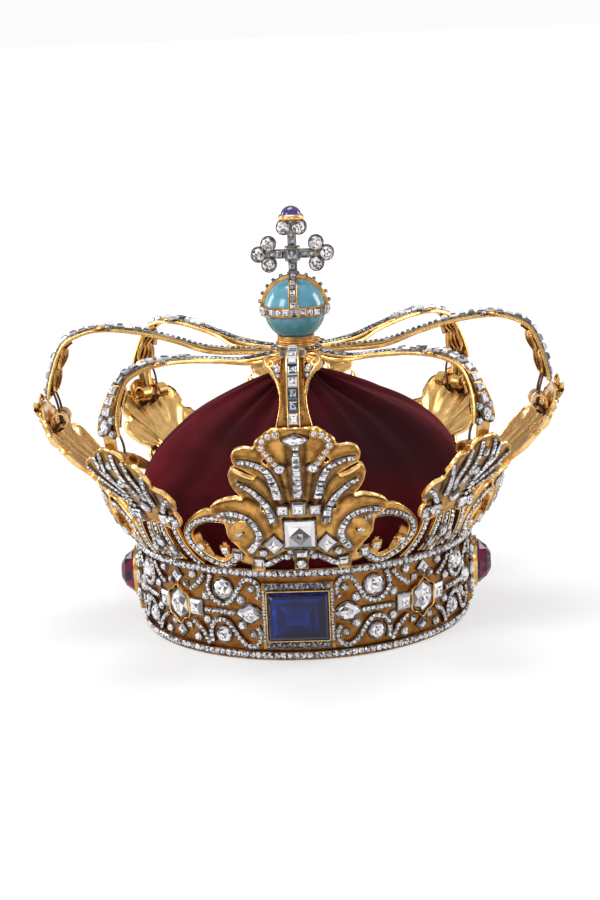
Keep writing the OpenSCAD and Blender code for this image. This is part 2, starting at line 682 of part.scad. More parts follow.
module cross() {
    foot = orb_z + frame_out + seat_gap;
    color(GOLD) {
        translate([-cross_bar / 2, -cross_bar / 2, foot])
            cube([cross_bar, cross_bar, finial_foot + finial_rim_h / 2 - foot]);
        translate([-cross_half_w, -cross_bar / 2, cross_z - cross_bar / 2])
            cube([2 * cross_half_w, cross_bar, cross_bar]);
        translate([0, 0, cross_z]) cube([block_w, block_t, block_w], center = true);
        for (p = TREFOILS) translate([p[0], 0, cross_z + p[1]])
            rotate([90, 0, 0]) cylinder(h = cross_bar, d = setting_d, center = true, $fn = small_fn);
        translate([0, 0, finial_foot])
            cylinder(h = finial_rim_h, r = finial_r + finial_rim, $fn = round_fn);
    }
}

// A round or square stone on the front or the back of the cross, y out from its middle
module cross_stone(side, x, z, w, sides = 8, y = cross_bar / 2) {
    translate([x, side * (y + seat_gap), cross_z + z])
        rotate([side * -90, 0, 0]) cut_stone(w, w, stone_rise(w), sides);
}

module cross_stones() {
    color(DIAMOND) for (side = [-1, 1]) {
        for (p = TREFOILS) cross_stone(side, p[0], p[1], trefoil_d);
        cross_stone(side, 0, 0, block_w - 2 * seat_margin, 4, block_t / 2);
    }
}

module finial_stone() {
    color(SAPPHIRE) translate([0, 0, finial_z + seat_gap]) intersection() {
        sphere(finial_r, $fn = round_fn);
        translate([-2 * finial_r, -2 * finial_r, 0]) cube([4 * finial_r, 4 * finial_r, 2 * finial_r]);
    }
}

// The cap's outer face above the circlet, as [height share, radius share]
DOME = [[0.14, 0.99], [0.31, 1], [0.46, 0.955], [0.62, 0.84], [0.76, 0.655], [0.87, 0.42], [0.95, 0.2]];
cap_sides = 40;
fold_count = 8;
cap_peak_z = hub_foot - cap_peak_gap;
dome_r = inner_r(circlet_h) - cap_gap + cap_swell;
dome_h = cap_peak_z - circlet_h;
CAP_LINE = concat(
    [for (z = [cap_foot_z, (cap_foot_z + circlet_h) / 2, circlet_h]) [inner_r(z) - cap_gap, z]],
    [for (p = DOME) [p[1] * dome_r, circlet_h + p[0] * dome_h]]
);
// How deep the folds are up the dome: none at the circlet, deepest below the peak
FOLDS = [[0, 0], [0.3, 0.1], [0.7, 0.8], [0.87, 1], [0.97, 0.3], [1, 0]];
function fold_at(z, angle) =
    fold_depth * lookup((z - circlet_h) / dome_h, FOLDS) * pow(sin(fold_count * angle / 2), 2);

module cap() {
    last = len(CAP_LINE) - 1;
    function ring_points(inward) = [for (k = [0:last], a = [0:cap_sides - 1]) let (
        n = left_of(along(CAP_LINE, k)),
        angle = 360 * a / cap_sides,
        p = CAP_LINE[k] + n * inward,
        r = p[0] - fold_at(p[1], angle)
    ) [r * cos(angle), r * sin(angle), p[1]]];
    outer = ring_points(0);
    inner = ring_points(cap_wall);
    count = len(outer);
    peak = 2 * count;
    top = last * cap_sides;
    color(VELVET) polyhedron(
        concat(outer, inner, [[0, 0, cap_peak_z], [0, 0, cap_peak_z - cap_wall]]),
        concat(
            [for (k = [0:last - 1], a = [0:cap_sides - 1]) let (b = (a + 1) % cap_sides, p = k * cap_sides)
                [p + a, p + cap_sides + a, p + cap_sides + b, p + b]],
            [for (k = [0:last - 1], a = [0:cap_sides - 1])
                let (b = (a + 1) % cap_sides, p = count + k * cap_sides)
                    [p + a, p + b, p + cap_sides + b, p + cap_sides + a]],
            [for (a = [0:cap_sides - 1]) let (b = (a + 1) % cap_sides) [top + a, peak, top + b]],
            [for (a = [0:cap_sides - 1]) let (b = (a + 1) % cap_sides)
                [count + top + b, peak + 1, count + top + a]],
            [for (a = [0:cap_sides - 1]) let (b = (a + 1) % cap_sides) [b, count + b, count + a, a]]
        )
    );
}

circlet();
cap();
hub();
orb();
orb_frame();
cross();
cross_stones();
finial_stone();
sapphire(0);  // sapphire_front
sapphire(180);  // sapphire_back
garnet(90);  // garnet_right
garnet(270);  // garnet_left
for (i = [0:7]) {
    palmette(i);
    arch(i);
    crest_stones(i);
    field_stones(i);
}
for (i = [1:2:7]) rosette_stones(eighth * i);
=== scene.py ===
"""Closed royal crown: jewelled gold circlet, palmettes, arches, orb and cross over a velvet cap."""
import math

import bpy
import numpy as np
from mathutils import Matrix, Quaternion, Vector
from mathutils.geometry import delaunay_2d_cdt


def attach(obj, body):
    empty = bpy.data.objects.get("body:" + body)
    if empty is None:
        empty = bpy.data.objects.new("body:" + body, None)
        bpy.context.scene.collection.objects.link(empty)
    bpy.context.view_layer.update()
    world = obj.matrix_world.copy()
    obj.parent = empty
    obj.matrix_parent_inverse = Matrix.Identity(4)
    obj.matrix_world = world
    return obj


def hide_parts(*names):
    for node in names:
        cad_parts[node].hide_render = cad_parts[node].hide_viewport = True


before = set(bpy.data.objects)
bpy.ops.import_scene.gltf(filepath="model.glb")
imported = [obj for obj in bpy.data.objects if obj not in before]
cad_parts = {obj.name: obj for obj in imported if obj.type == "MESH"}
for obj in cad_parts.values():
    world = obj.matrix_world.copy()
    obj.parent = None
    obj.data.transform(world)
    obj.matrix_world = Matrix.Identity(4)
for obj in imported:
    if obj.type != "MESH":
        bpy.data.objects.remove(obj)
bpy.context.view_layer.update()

# The table and its light: a pale floor that reaches past the view, large soft boxes at the sides and
# above, a small one in front that gives the stones and gold their edge, and a dim room round them.


def nodes_of(owner):
    """The nodes of a material or world and two ways to work on them. put sets a node's inputs, by name or
    number; an output given as a value is joined to its input. add makes a node, sets it up and gives
    one of its outputs; stops are a colour ramp's, each a place and a colour."""
    owner.use_nodes = True
    nodes, links = owner.node_tree.nodes, owner.node_tree.links

    def put(node, inputs):
        for key, value in inputs.items():
            if isinstance(value, bpy.types.NodeSocket):
                links.new(value, node.inputs[key])
            else:
                node.inputs[key].default_value = value

    def add(kind, output, inputs=(), stops=(), **settings):
        node = nodes.new("ShaderNode" + kind)
        for key, value in settings.items():
            setattr(node, key, value)
        put(node, dict(inputs))
        while stops and len(node.color_ramp.elements) < len(stops):
            node.color_ramp.elements.new(0.5)
        for element, (place, colour) in zip(node.color_ramp.elements if stops else (), stops):
            element.position, element.color = place, (*colour, 1)
        return node.outputs[output]

    return nodes, put, add


def finish(name, metallic, roughness):
    """A material, a way to set its Principled shader, and a way to add nodes."""
    m = bpy.data.materials.new(name)
    nodes, put, add = nodes_of(m)

    def shade(inputs):
        put(nodes["Principled BSDF"], inputs)

    shade({"Metallic": metallic, "Roughness": roughness})
    return m, shade, add


floor_half = 40.0
bpy.ops.mesh.primitive_grid_add(x_subdivisions=2, y_subdivisions=2, size=2 * floor_half, location=(0, 0, 0))
floor = bpy.context.object
floor.name = "floor"
floor.data.transform(Matrix.Translation((0, 0, -0.0002)))
floor_paint, shade, add = finish("pale_floor", 0, 0.8)
far = add("VectorMath", "Value", {0: add("TexCoord", "Object")}, operation="LENGTH")
lit = add("MapRange", "Result", {"Value": far, "From Min": 0.25, "From Max": 1.6, "To Min": 0.52, "To Max": 0.86},
          interpolation_type="SMOOTHSTEP")
shade({"Base Color": (0.42, 0.42, 0.42, 1), "Specular IOR Level": 0.05, "Emission Color": (1, 1, 1, 1),
       "Emission Strength": lit})
floor.data.materials.append(floor_paint)

room = bpy.data.worlds.new("room")
bpy.context.scene.world = room
nodes, put, add = nodes_of(room)
height = add("SeparateXYZ", "Z", {"Vector": add("TexCoord", "Generated")})
glow = add("ValToRGB", "Color", {"Fac": height},
           [(place, (share, share, share)) for place, share in ((0.03, 0.97), (0.22, 0.34), (1.0, 1.0))])
put(nodes["Background"], {"Color": glow})
bpy.context.scene.view_settings.view_transform = "Standard"


def soft_box(name, place, aim, size, power):
    """An area light at place that faces aim."""
    lamp = bpy.data.lights.new(name, "AREA")
    lamp.shape, lamp.size, lamp.size_y, lamp.energy = "RECTANGLE", size[0], size[1], power
    box = bpy.data.objects.new(name, lamp)
    bpy.context.scene.collection.objects.link(box)
    box.location = place
    box.rotation_euler = (Vector(aim) - Vector(place)).to_track_quat("-Z", "Y").to_euler()


soft_box("left_box", (-0.85, -0.75, 0.7), (0, 0, 0.1), (0.4, 0.55), 5.2)
soft_box("right_box", (1.0, 0.3, 0.5), (0, 0, 0.12), (0.35, 0.6), 4.4)
soft_box("far_left_box", (-1.0, 0.35, 0.45), (0, 0, 0.12), (0.3, 0.55), 3.4)
soft_box("top_box", (-0.1, 0.15, 1.15), (0, 0, 0.1), (0.55, 0.4), 4.6)
soft_box("front_box", (0.25, -1.2, 0.5), (0, 0, 0.08), (0.2, 0.15), 1.0)

view_from = Vector((0.0528, -1.0048, 0.3187))
view_at = Vector((0, 0, 0.0482))
lens = bpy.data.cameras.new("camera")
lens.lens, lens.sensor_width, lens.shift_x, lens.shift_y = 74.94, 36, -0.0044, 0.0832
lens.clip_start, lens.clip_end = 0.01, 50
camera = bpy.data.objects.new("camera", lens)
bpy.context.scene.collection.objects.link(camera)
camera.location = view_from
camera.rotation_mode = "QUATERNION"
camera.rotation_quaternion = ((view_at - view_from).to_track_quat("-Z", "Y")
                              @ Quaternion((0, 0, 1), math.radians(-2.44)))
bpy.context.scene.camera = camera

# The circlet: one band of gold with a rail of stones along its foot and its top edge. It is
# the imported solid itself, in brushed yellow gold, with a milled foot edge soldered under it.
PLACES = ["front", "front_right", "right", "back_right", "back", "back_left", "left", "front_left"]
circlet_h, rail_h, flare = 49.8, 4.4, 2.8 / 49.8
up = np.array([0, 0, 1.0])


def rail_r(z):
    """Radius of the rails' outside at height z, in millimetres."""
    return 89.6 + flare * z


def field_r(z):
    """Radius of the field between the rails."""
    return rail_r(z) - 1.4


def unit(v):
    """Each row of v at length one."""
    return v / np.maximum(np.linalg.norm(v, axis=-1, keepdims=True), 1e-12)


def full_turn(n, start=0.0):
    """The n angles of a full turn."""
    return np.linspace(0, 2 * np.pi, n, endpoint=False) + start


def circle(n, start=0.0):
    """The n points of a level circle with radius 1."""
    a = full_turn(n, start)
    return np.stack([np.cos(a), np.sin(a), 0 * a], 1)


def axes(turn):
    """Outward and rightward directions of someone who looks at the crown at that turn from the front."""
    a = math.radians(turn - 90)
    return np.array([math.cos(a), math.sin(a), 0]), np.array([-math.sin(a), math.cos(a), 0])


def on_round(turn, x, z, radius, slope, out=0.0):
    """Points on a surface of revolution, straight behind a flat drawing with coordinates x and z:
    the radius is given there, and x stays the distance to the right. Also their normals."""
    d, right = axes(turn)
    x, z, radius = np.broadcast_arrays(*(np.asarray(v, float) for v in (x, z, radius)))
    p = d * np.sqrt(radius ** 2 - x ** 2)[..., None] + right * x[..., None]
    n = unit(p / radius[..., None] - up * np.asarray(slope)[..., None])
    return p + up * z[..., None] + n * np.asarray(out)[..., None], n


def on_band(turn, x, z, out=0.0):
    """Points on the field of the band."""
    z = np.asarray(z, float)
    return on_round(turn, x, z, field_r(z), np.full(z.shape, flare), out)


def smooth(points, steps):
    """The curve through points whose tangent at each is half the chord between its neighbours."""
    p = np.asarray(points, float)
    q = np.vstack([p[:1], p, p[-1:]])
    t = np.linspace(0, 1, steps, endpoint=False)[:, None, None]
    a, b, c, d = q[:-3], q[1:-2], q[2:-1], q[3:]
    s = 0.5 * (2 * b + (c - a) * t + (2 * a - 5 * b + 4 * c - d) * t ** 2 + (3 * b - a - 3 * c + d) * t ** 3)
    return np.vstack([s.transpose(1, 0, 2).reshape(-1, p.shape[1]), p[-1:]])


def even(points, gap):
    """The same curve with its points about gap apart."""
    p = np.asarray(points, float)
    s = np.concatenate([[0], np.cumsum(np.linalg.norm(np.diff(p, axis=0), axis=1))])
    k = np.linspace(0, s[-1], max(int(round(s[-1] / gap)), 2) + 1)
    return np.stack([np.interp(k, s, p[:, j]) for j in range(p.shape[1])], 1)


def curve(points, gap=0.9):
    """The smooth curve through points, with its own points about gap apart."""
    return even(smooth(points, 6), gap)


def outline_of(corners, gap):
    """The straight-sided closed outline through corners, with its points about gap apart."""
    return even(np.vstack([corners, corners[:1]]), gap)


def piece(name, points, faces, slot, materials, smooth_over=None, on_points=None, on_faces=None):
    """A mesh of points in millimetres. faces is a list of arrays, one row per face; smooth_over is the
    angle below which edges are shaded smooth. on_points and on_faces are named values for the material."""
    mesh = bpy.data.meshes.new(name)
    points = np.asarray(points, float).reshape(-1, 3) * 0.001
    faces = [np.asarray(f, int) for f in faces if len(f)]
    total = np.concatenate([np.full(len(f), f.shape[1]) for f in faces])
    corners = np.concatenate([f.ravel() for f in faces])
    mesh.vertices.add(len(points))
    mesh.vertices.foreach_set("co", points.ravel())
    mesh.loops.add(len(corners))
    mesh.loops.foreach_set("vertex_index", corners)
    mesh.polygons.add(len(total))
    mesh.polygons.foreach_set("loop_start", np.concatenate([[0], np.cumsum(total)[:-1]]))
    mesh.polygons.foreach_set("loop_total", total)
    mesh.update(calc_edges=True)
    for values, domain in ((on_points, "POINT"), (on_faces, "FACE")):
        for key, value in (values or {}).items():
            mesh.attributes.new(key, "FLOAT", domain).data.foreach_set("value", np.asarray(value, float).ravel())
    mesh.polygons.foreach_set("use_smooth", np.full(len(total), smooth_over is not None))
    if smooth_over is not None:
        mesh.set_sharp_from_angle(angle=math.radians(smooth_over))
    for m in materials:
        mesh.materials.append(m)
    made = bpy.data.objects.new(name, mesh)
    bpy.context.scene.collection.objects.link(made)
    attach(made, "root")
    return made


def repaint(node, material):
    """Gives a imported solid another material."""
    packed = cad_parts[node].data.materials
    packed.clear()
    packed.append(material)


def gold(name, dark, light, roughness, grain, ground=None):
    """Brushed gold: cloudy colour between two tones; smoother where a rim is polished, and painted brighter there,
    polish with a painted highlight; painted shade where it is sunk; a fine matt grain, and a roughness that changes
    with the clouds. ground is the distance from the crown's axis, less the band's flare, below which the relief has
    painted shade."""
    m, shade, add = finish(name, 1, roughness)
    place = add("TexCoord", "Object")
    cloud = add("TexNoise", "Fac", {"Vector": place, "Scale": 170, "Detail": 5, "Roughness": 0.6})
    # rim is painted brightness: above 0 polish with a painted highlight, below 0 painted shade in creases and channels
    rim = add("Attribute", "Fac", attribute_name="rim")
    cloud_tone = add("ValToRGB", "Color", {"Fac": cloud}, [(0.34, dark), (0.62, light)])
    # the pale gold on polished rims is polish with a painted highlight
    polish_and_highlight = add("Mix", 2, {"Factor": rim, 6: cloud_tone, 7: (0.95, 0.62, 0.24, 1)}, data_type="RGBA")
    if ground:
        flat = add("VectorMath", "Vector", {0: place, 1: (1, 1, 0)}, operation="MULTIPLY")
        far = add("VectorMath", "Value", {0: flat}, operation="LENGTH")
        level = add("Math", "Value", {0: add("SeparateXYZ", "Z", {"Vector": place}), 1: -flare, 2: far},
                    operation="MULTIPLY_ADD")
        # painted shade over the band's field, sunk between its rails and scrolls
        sunk = add("MapRange", "Result", {"Value": level, "From Min": ground + 0.0002, "From Max": ground + 0.0009,
                                          "To Min": 0.62, "To Max": 0.0})
        painted_shade_colour = (0.17, 0.062, 0.014, 1)
    else:
        # painted shade wherever rim is below 0
        sunk = add("Math", "Value", {0: rim, 1: -1}, operation="MULTIPLY", use_clamp=True)
        painted_shade_colour = (0.07, 0.026, 0.008, 1)
    matt = add("MapRange", "Result", {"Value": cloud, "From Min": 0.3, "From Max": 0.7,
                                      "To Min": roughness + 0.08, "To Max": roughness - 0.07})
    fine = add("TexNoise", "Fac", {"Vector": place, "Scale": 1900, "Detail": 3, "Roughness": 0.7})
    shade({"Base Color": add("Mix", 2, {"Factor": sunk, 6: polish_and_highlight, 7: painted_shade_colour}, data_type="RGBA"),
           "Roughness": add("Math", "Value", {0: rim, 1: -0.07, 2: matt}, operation="MULTIPLY_ADD", use_clamp=True),
           "Normal": add("Bump", "Normal", {"Height": fine, "Strength": grain, "Distance": 0.0002})})
    return m


# the band's sunk field gets painted shade through ground
band_gold = gold("brushed_gold", (0.19, 0.068, 0.013), (0.57, 0.255, 0.058), 0.3, 0.5, 0.0882)
repaint("circlet", band_gold)


def quads(rows, ring, closed=False):
    """Four-cornered faces between rings of points that follow each other, and from the last to the first
    if closed."""
    i, j = np.meshgrid(np.arange(rows if closed else rows - 1), np.arange(ring), indexing="ij")
    a, b, j1 = i * ring, (i + 1) % rows * ring, (j + 1) % ring
    return np.stack([a + j, a + j1, b + j1, b + j], -1).reshape(-1, 4)


def swept(path, normal, profile, closed=False):
    """A profile carried along a path. profile holds, for each point of the path, the same number of
    pairs: how far to the side and how far up along the normal. The ends are closed unless the path is."""
    path = np.asarray(path, float)
    normal = unit(np.broadcast_to(normal, path.shape).astype(float))
    ahead = np.roll(path, -1, 0) - np.roll(path, 1, 0) if closed else np.gradient(path, axis=0)
    side = unit(np.cross(normal, ahead))
    profile = np.broadcast_to(profile, (len(path),) + np.shape(profile)[-2:])
    k, ring = profile.shape[:2]
    points = path[:, None] + side[:, None] * profile[..., :1] + normal[:, None] * profile[..., 1:]
    ends = [] if closed else [np.arange(ring)[None, ::-1], (k - 1) * ring + np.arange(ring)[None]]
    return points.reshape(-1, 3), [quads(k, ring, closed), *ends]


def joined(parts):
    """Several (points, faces) as one."""
    points, faces, count = [], {}, 0
    for p, fs in parts:
        p = np.asarray(p).reshape(-1, 3)
        for f in fs:
            f = np.asarray(f)
            if len(f):
                faces.setdefault(f.shape[1], []).append(f + count)
        points.append(p)
        count += len(p)
    return np.concatenate(points), [np.concatenate(f) for f in faces.values()]


def milled_edge(lobes=132, steps=6, ripple=0.32):
    """A rope of small lobes under the foot rail: a half-round profile whose radius swells and
    shrinks with the angle, a full wave for each lobe."""
    a, around = full_turn(lobes * steps), np.linspace(-0.5 * np.pi, 0.5 * np.pi, 6)
    z = 0.95 + 0.9 * np.sin(around)
    r = rail_r(0) - 0.5 + 0.95 * (1 + ripple * np.cos(lobes * a))[:, None] * np.cos(around)
    points = np.stack([r * np.cos(a)[:, None], r * np.sin(a)[:, None], np.broadcast_to(z, r.shape)], -1)
    return points.reshape(-1, 3), [quads(*r.shape, True)[:, [0, 3, 2, 1]]]


piece("foot_edge", *milled_edge(), "gold", [band_gold], 50)

# Rows of small stones in silver channels: they run round both rails, along every scroll of the
# band, and round the four main bezels. The silver is darkened, and each stone is cut with a table.
silver, shade, add = finish("darkened_silver", 1, 0.36)
tarnish = add("TexNoise", "Fac", {"Vector": add("TexCoord", "Object"), "Scale": 420, "Detail": 4})
shade({"Base Color": add("ValToRGB", "Color", {"Fac": tarnish},
                         [(0.35, (0.05, 0.038, 0.03)), (0.68, (0.345, 0.295, 0.25))])})


def stone_finish(name, stops, roughness=0.06, ior=2.2, gloss=0.3, clouds=None):
    """A cut stone: each facet has its own share of light, which the ramp turns into a colour. A large
    stone has soft clouds of depth in it too."""
    m, shade, add = finish(name, 0, roughness)
    light = add("Attribute", "Fac", attribute_name="fire")
    if clouds:
        depth = add("TexNoise", "Fac", {"Vector": add("TexCoord", "Object"), "Scale": clouds, "Detail": 2})
        light = add("Math", "Value", {0: depth, 1: 0.55, 2: light}, operation="MULTIPLY_ADD")
    shade({"IOR": ior, "Specular IOR Level": gloss, "Base Color": add("ValToRGB", "Color", {"Fac": light}, stops)})
    return m


clear_stone = stone_finish("white_stone", [
    (0.0, (0.008, 0.008, 0.012)), (0.14, (0.035, 0.03, 0.034)), (0.3, (0.17, 0.145, 0.15)),
    (0.5, (0.40, 0.375, 0.42)), (0.72, (0.66, 0.63, 0.65)), (0.9, (0.88, 0.86, 0.85)), (1.0, (0.98, 0.98, 0.98))])
dark_stone = stone_finish("grey_stone", [
    (0.0, (0.005, 0.006, 0.009)), (0.4, (0.018, 0.022, 0.034)), (0.72, (0.075, 0.085, 0.115)),
    (1.0, (0.5, 0.53, 0.6))])


def ring_of(sides, r, z, turned_by=0.0, square=False):
    """Corners of a regular outline at height z; a square one reaches r along both axes."""
    a = (np.arange(sides) + turned_by + (0.5 if square else 0)) * 2 * np.pi / sides
    k = r * (math.sqrt(2) if square else 1)
    return np.stack([k * np.cos(a), k * np.sin(a), np.full(sides, z)], 1)


def cut(sides, rings, square=False):
    """A cut stone with radius 1 and rise 1: rings of corners joined by facets, those of a turned ring
    by triangles, and the table as triangles about its middle. Gives points, faces, the back and what
    its collet's outline is: how many corners, how far turned, and whether square."""
    points = [ring_of(sides, r, z, turned_by, square) for r, z, turned_by in rings]
    k = np.arange(sides)
    k1 = (k + 1) % sides
    three, four = [], []
    for n in range(len(rings) - 1):
        a, b = n * sides, (n + 1) * sides
        shift = rings[n + 1][2] - rings[n][2]
        if abs(shift) < 1e-6:
            four.append(np.stack([a + k, a + k1, b + k1, b + k], 1))
        elif shift > 0:
            three += [np.stack([a + k, a + k1, b + k], 1), np.stack([a + k1, b + k1, b + k], 1)]
        else:
            three += [np.stack([a + k, b + k1, b + k], 1), np.stack([a + k, a + k1, b + k1], 1)]
    top = (len(rings) - 1) * sides
    points.append([[0, 0, rings[-1][1]]])
    three.append(np.stack([top + k, top + k1, np.full(sides, top + sides)], 1))
    faces = [np.concatenate(three)] + ([np.concatenate(four)] if four else [])
    return np.concatenate(points), faces, k[None, ::-1], (sides, rings[0][2], square)


BRILLIANT = cut(8, [(1, 0, 0), (1, 0.24, 0), (0.83, 0.66, 0.5), (0.56, 1, 0), (0.3, 1, 0.5)])
STEP = cut(4, [(1, 0, 0), (1, 0.28, 0), (0.82, 0.7, 0), (0.6, 1, 0), (0.3, 1, 0.5)], True)
SMALL = cut(8, [(1.04, 0, 0.5), (1.04, 0.3, 0.5), (0.64, 1, 0.5)])
TABLE = cut(4, [(0.87, 0, 0), (0.87, 0.35, 0), (0.55, 1, 0)], True)


stone_share = 0.96  # of its place's width that a stone fills


def set_stones(shape, middle, normal, across, w, h, rise, seed, point=0.0, bright=None):
    """Copies of a cut shape at many places: its width runs along across, its rise along the normal.
    point draws the slanting corners in, as on an almond. Gives points, faces and a light for each facet:
    most facets of a large stone are bright and a few nearly black, a small one's may be either."""
    base, faces, back, _ = shape
    middle = np.atleast_2d(middle)
    count = len(middle)
    n = unit(np.broadcast_to(normal, middle.shape))
    u = np.broadcast_to(across, middle.shape)
    u = unit(u - n * (u * n).sum(-1, keepdims=True))
    v = np.cross(n, u)
    w, h, rise = (np.broadcast_to(s, count)[:, None, None] for s in (w, h, rise))
    x, y, z = base.T
    y = y * (1 - point * (x / np.maximum(np.hypot(x, y), 1e-9)) ** 2)
    points = (middle[:, None] + u[:, None] * x[None, :, None] * w / 2 + v[:, None] * y[None, :, None] * h / 2
              + n[:, None] * z[None, :, None] * rise)
    rows = np.arange(count)[:, None, None] * len(base)
    out = [(f[None] + rows).reshape(-1, f.shape[1]) for f in faces] + [(back[None] + rows).reshape(count, -1)]
    rng = np.random.default_rng(seed)
    bright = bright or (1.3 if float(np.max(w)) > 4 else 0.9)
    return points.reshape(-1, 3), out, [rng.beta(bright, 0.68, len(f)) for f in out]


def lay(name, sets, slot="diamond", material=clear_stone):
    """One piece out of several sets of stones."""
    points, faces = joined([s[:2] for s in sets])
    fire = {}
    for _, facets, lights in sets:
        for f, light in zip(facets, lights):
            if len(f):
                fire.setdefault(np.shape(f)[1], []).append(light)
    light = np.concatenate([np.concatenate(fire[f.shape[1]]) for f in faces])
    return piece(name, points, faces, slot, [material], None, None, {"fire": light})


def metalwork(name, parts, metal=silver):
    """One piece out of several channels, collets or screws."""
    return piece(name, *joined(parts), "gold", [metal], 40)


def keep(setting_and_stones, settings, stones):
    """Puts a setting and its stones into their lists."""
    settings.append(setting_and_stones[0])
    stones.append(setting_and_stones[1])


def along_row(path, normal, first, last, close=False):
    """Places for stones in a row, each as wide as its share of the way from the first width to the
    last: the row's length is divided by the widths. Gives middles, normals, directions and widths."""
    if close:
        path, normal = np.vstack([path, path[:1]]), np.vstack([normal, normal[:1]])
    s = np.concatenate([[0], np.cumsum(np.linalg.norm(np.diff(path, axis=0), axis=1))])
    w = first + (last - first) * s / s[-1]
    steps = np.concatenate([[0], np.cumsum(np.diff(s) * 2 / (w[1:] + w[:-1]))])
    n = max(int(round(steps[-1])), 1)
    k = np.interp((np.arange(n) + 0.5) * steps[-1] / n, steps, s)
    at = [np.stack([np.interp(k, s, q[:, j]) for j in range(3)], 1)
          for q in (path, normal, np.gradient(path, axis=0))]
    return at[0], unit(at[1]), unit(at[2]), np.interp(k, s, w) * steps[-1] / n


def channel(path, normal, w, height, close=False, lip=0.28):
    """A silver channel with two thin walls and a sunk bed between them."""
    w = np.broadcast_to(w, len(path))[:, None] / 2
    x = np.concatenate([-w, -w, -w + lip, -w + lip, w - lip, w - lip, w, w], 1)
    y = np.broadcast_to([-0.5, height, height, height * 0.35, height * 0.35, height, height, -0.5], x.shape)
    return swept(path, normal, np.stack([x, y], -1)[:, ::-1], close)


def stone_row(path, normal, first, last, height, seed, close=False, shape=SMALL, wide=1.0):
    """A channel and its stones along a path. wide is their size across the row, as a share of that along it."""
    normal = np.broadcast_to(normal, path.shape)
    s = np.linspace(0, 1, len(path))
    bed = channel(path, normal, (first + (last - first) * s) * wide + 0.5, height, close)
    middle, n, ahead, w = along_row(path, normal, first, last, close)
    rise = 0.62 * w ** 0.5
    return bed, set_stones(shape, middle + n * height * 0.4, n, ahead, w * stone_share, w * 0.98 * wide, rise, seed)


beds, stones = [], []
ring = circle(336)
for z, seed in ((rail_h / 2 + 0.55, 1), (circlet_h - rail_h / 2, 2)):
    keep(stone_row(ring * rail_r(z) + up * z, ring - up * flare, 3.36, 3.36, 0.75, seed, True), beds, stones)

# Middle lines of one eighth's scrolls, as turn from the main stone and share of the band's height
SCROLLS = [
    [(29.6, 0.9), (30.9, 0.77), (29.8, 0.66), (26.2, 0.59), (22.4, 0.635), (19.9, 0.76), (17.2, 0.875),
     (13.8, 0.86), (12.4, 0.76), (13.5, 0.665)],
    [(30.6, 0.15), (31, 0.28), (29, 0.39), (25.2, 0.41), (22.4, 0.33), (19.9, 0.21), (17, 0.145), (13.8, 0.165),
     (12.6, 0.27), (13.8, 0.36)],
    [(21, 0.5), (26, 0.505), (33, 0.5)],
    [(32.2, 0.89), (35, 0.78), (38.6, 0.7)],
    [(32, 0.12), (34.4, 0.26), (38.6, 0.35)]]
scroll_up, scroll_middle = 1.1, 25
for quarter in range(4):
    for side in (-1, 1):
        for k, scroll in enumerate(SCROLLS):
            a, z = np.array(scroll).T
            z = z * circlet_h
            flat = curve(np.stack([side * field_r(z) * np.sin(np.radians(a - scroll_middle)), z], 1))
            path, normal = on_band(90 * quarter + side * scroll_middle, *flat.T, scroll_up)
            keep(stone_row(path, normal, 2.5, 2.3, 0.6, 100 + 10 * k + quarter + 4 * side), beds, stones)
metalwork("band_channels", beds)
lay("band_rows", stones)

# The stones of the band: almonds, rounds and rosettes, each in a silver collet, and a wavy gold wire
# round the middle of each rosette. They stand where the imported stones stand, with more facets.
small_d, square_w = 4.4, 8.6
bright_gold = gold("polished_gold", (0.58, 0.32, 0.095), (0.88, 0.57, 0.22), 0.2, 0.15)
KITE = cut(4, [(1, 0, 0), (1, 0.2, 0), (0.6, 0.75, 0), (0.28, 1, 0.5)])
SQUARE = cut(4, [(1, 0, 0), (1, 0.25, 0), (0.62, 0.8, 0), (0.28, 1, 0.5)], True)
SIX = cut(6, [(1, 0, 0.5), (1, 0.22, 0.5), (0.7, 0.75, 0), (0.42, 1, 0.5), (0.2, 1, 0)])
BAND = [  # turn, share of the height, width, height, cut, point
    (16.2, 0.5, 14.6, 10.4, BRILLIANT, 0.62), (25.4, 0.755, 11.4, 11.4, BRILLIANT, 0),
    (26.4, 0.245, 9, 9, BRILLIANT, 0), (15.4, 0.77, 3.52, 3.52, BRILLIANT, 0), (15.6, 0.27, 3.52, 3.52, BRILLIANT, 0),
    *[(turn, share, small_d, small_d, BRILLIANT, 0)
      for turn, share in ((19.3, 0.645), (19.3, 0.36), (32.6, 0.645), (32.6, 0.38))]]
ROSETTE = [
    (0, 0.5, 15.0, 16.4, SIX, 0), (0, 0.823, square_w * 0.95, square_w, KITE, 0),
    (0, 0.2, square_w * 0.9, square_w * 0.85, KITE, 0),
    *[(s * 7.9, 0.5, square_w, square_w, SQUARE, 0) for s in (-1, 1)],
    *[(s * 3.9, share, 2.9, 2.9, SQUARE, 0) for s in (-1, 1) for share in (0.74, 0.28)],
    *[(s * turn, share, small_d, small_d, BRILLIANT, 0)
      for turn, share in ((7.4, 0.86), (7.6, 0.165)) for s in (-1, 1)]]


def collet(shape, middle, normal, across, w, h, high, sides=16, point=0.0, wall=0.55):
    """A setting round one stone: the stone's outline, or one of so many sides round a stone of eight or
    more. It is a little wider at its foot than at its lip, and has a wall."""
    corners, turned_by, square = shape[3]
    if corners > 6:
        corners, turned_by = sides, 0.0
    x, y, _ = ring_of(corners, 1, 0, turned_by, square).T
    y = y * (1 - point * x ** 2)
    n = unit(np.asarray(normal, float))
    u = unit(across - n * np.dot(across, n))
    v = np.cross(n, u)
    rings = [middle + np.outer(x * (w / 2 + more), u) + np.outer(y * (h / 2 + more), v) + n * z
             for more, z in ((wall + 0.35, -0.6), (wall, high), (0.02, high), (0.0, high * 0.3))]
    return np.concatenate(rings), [quads(len(rings), corners)]


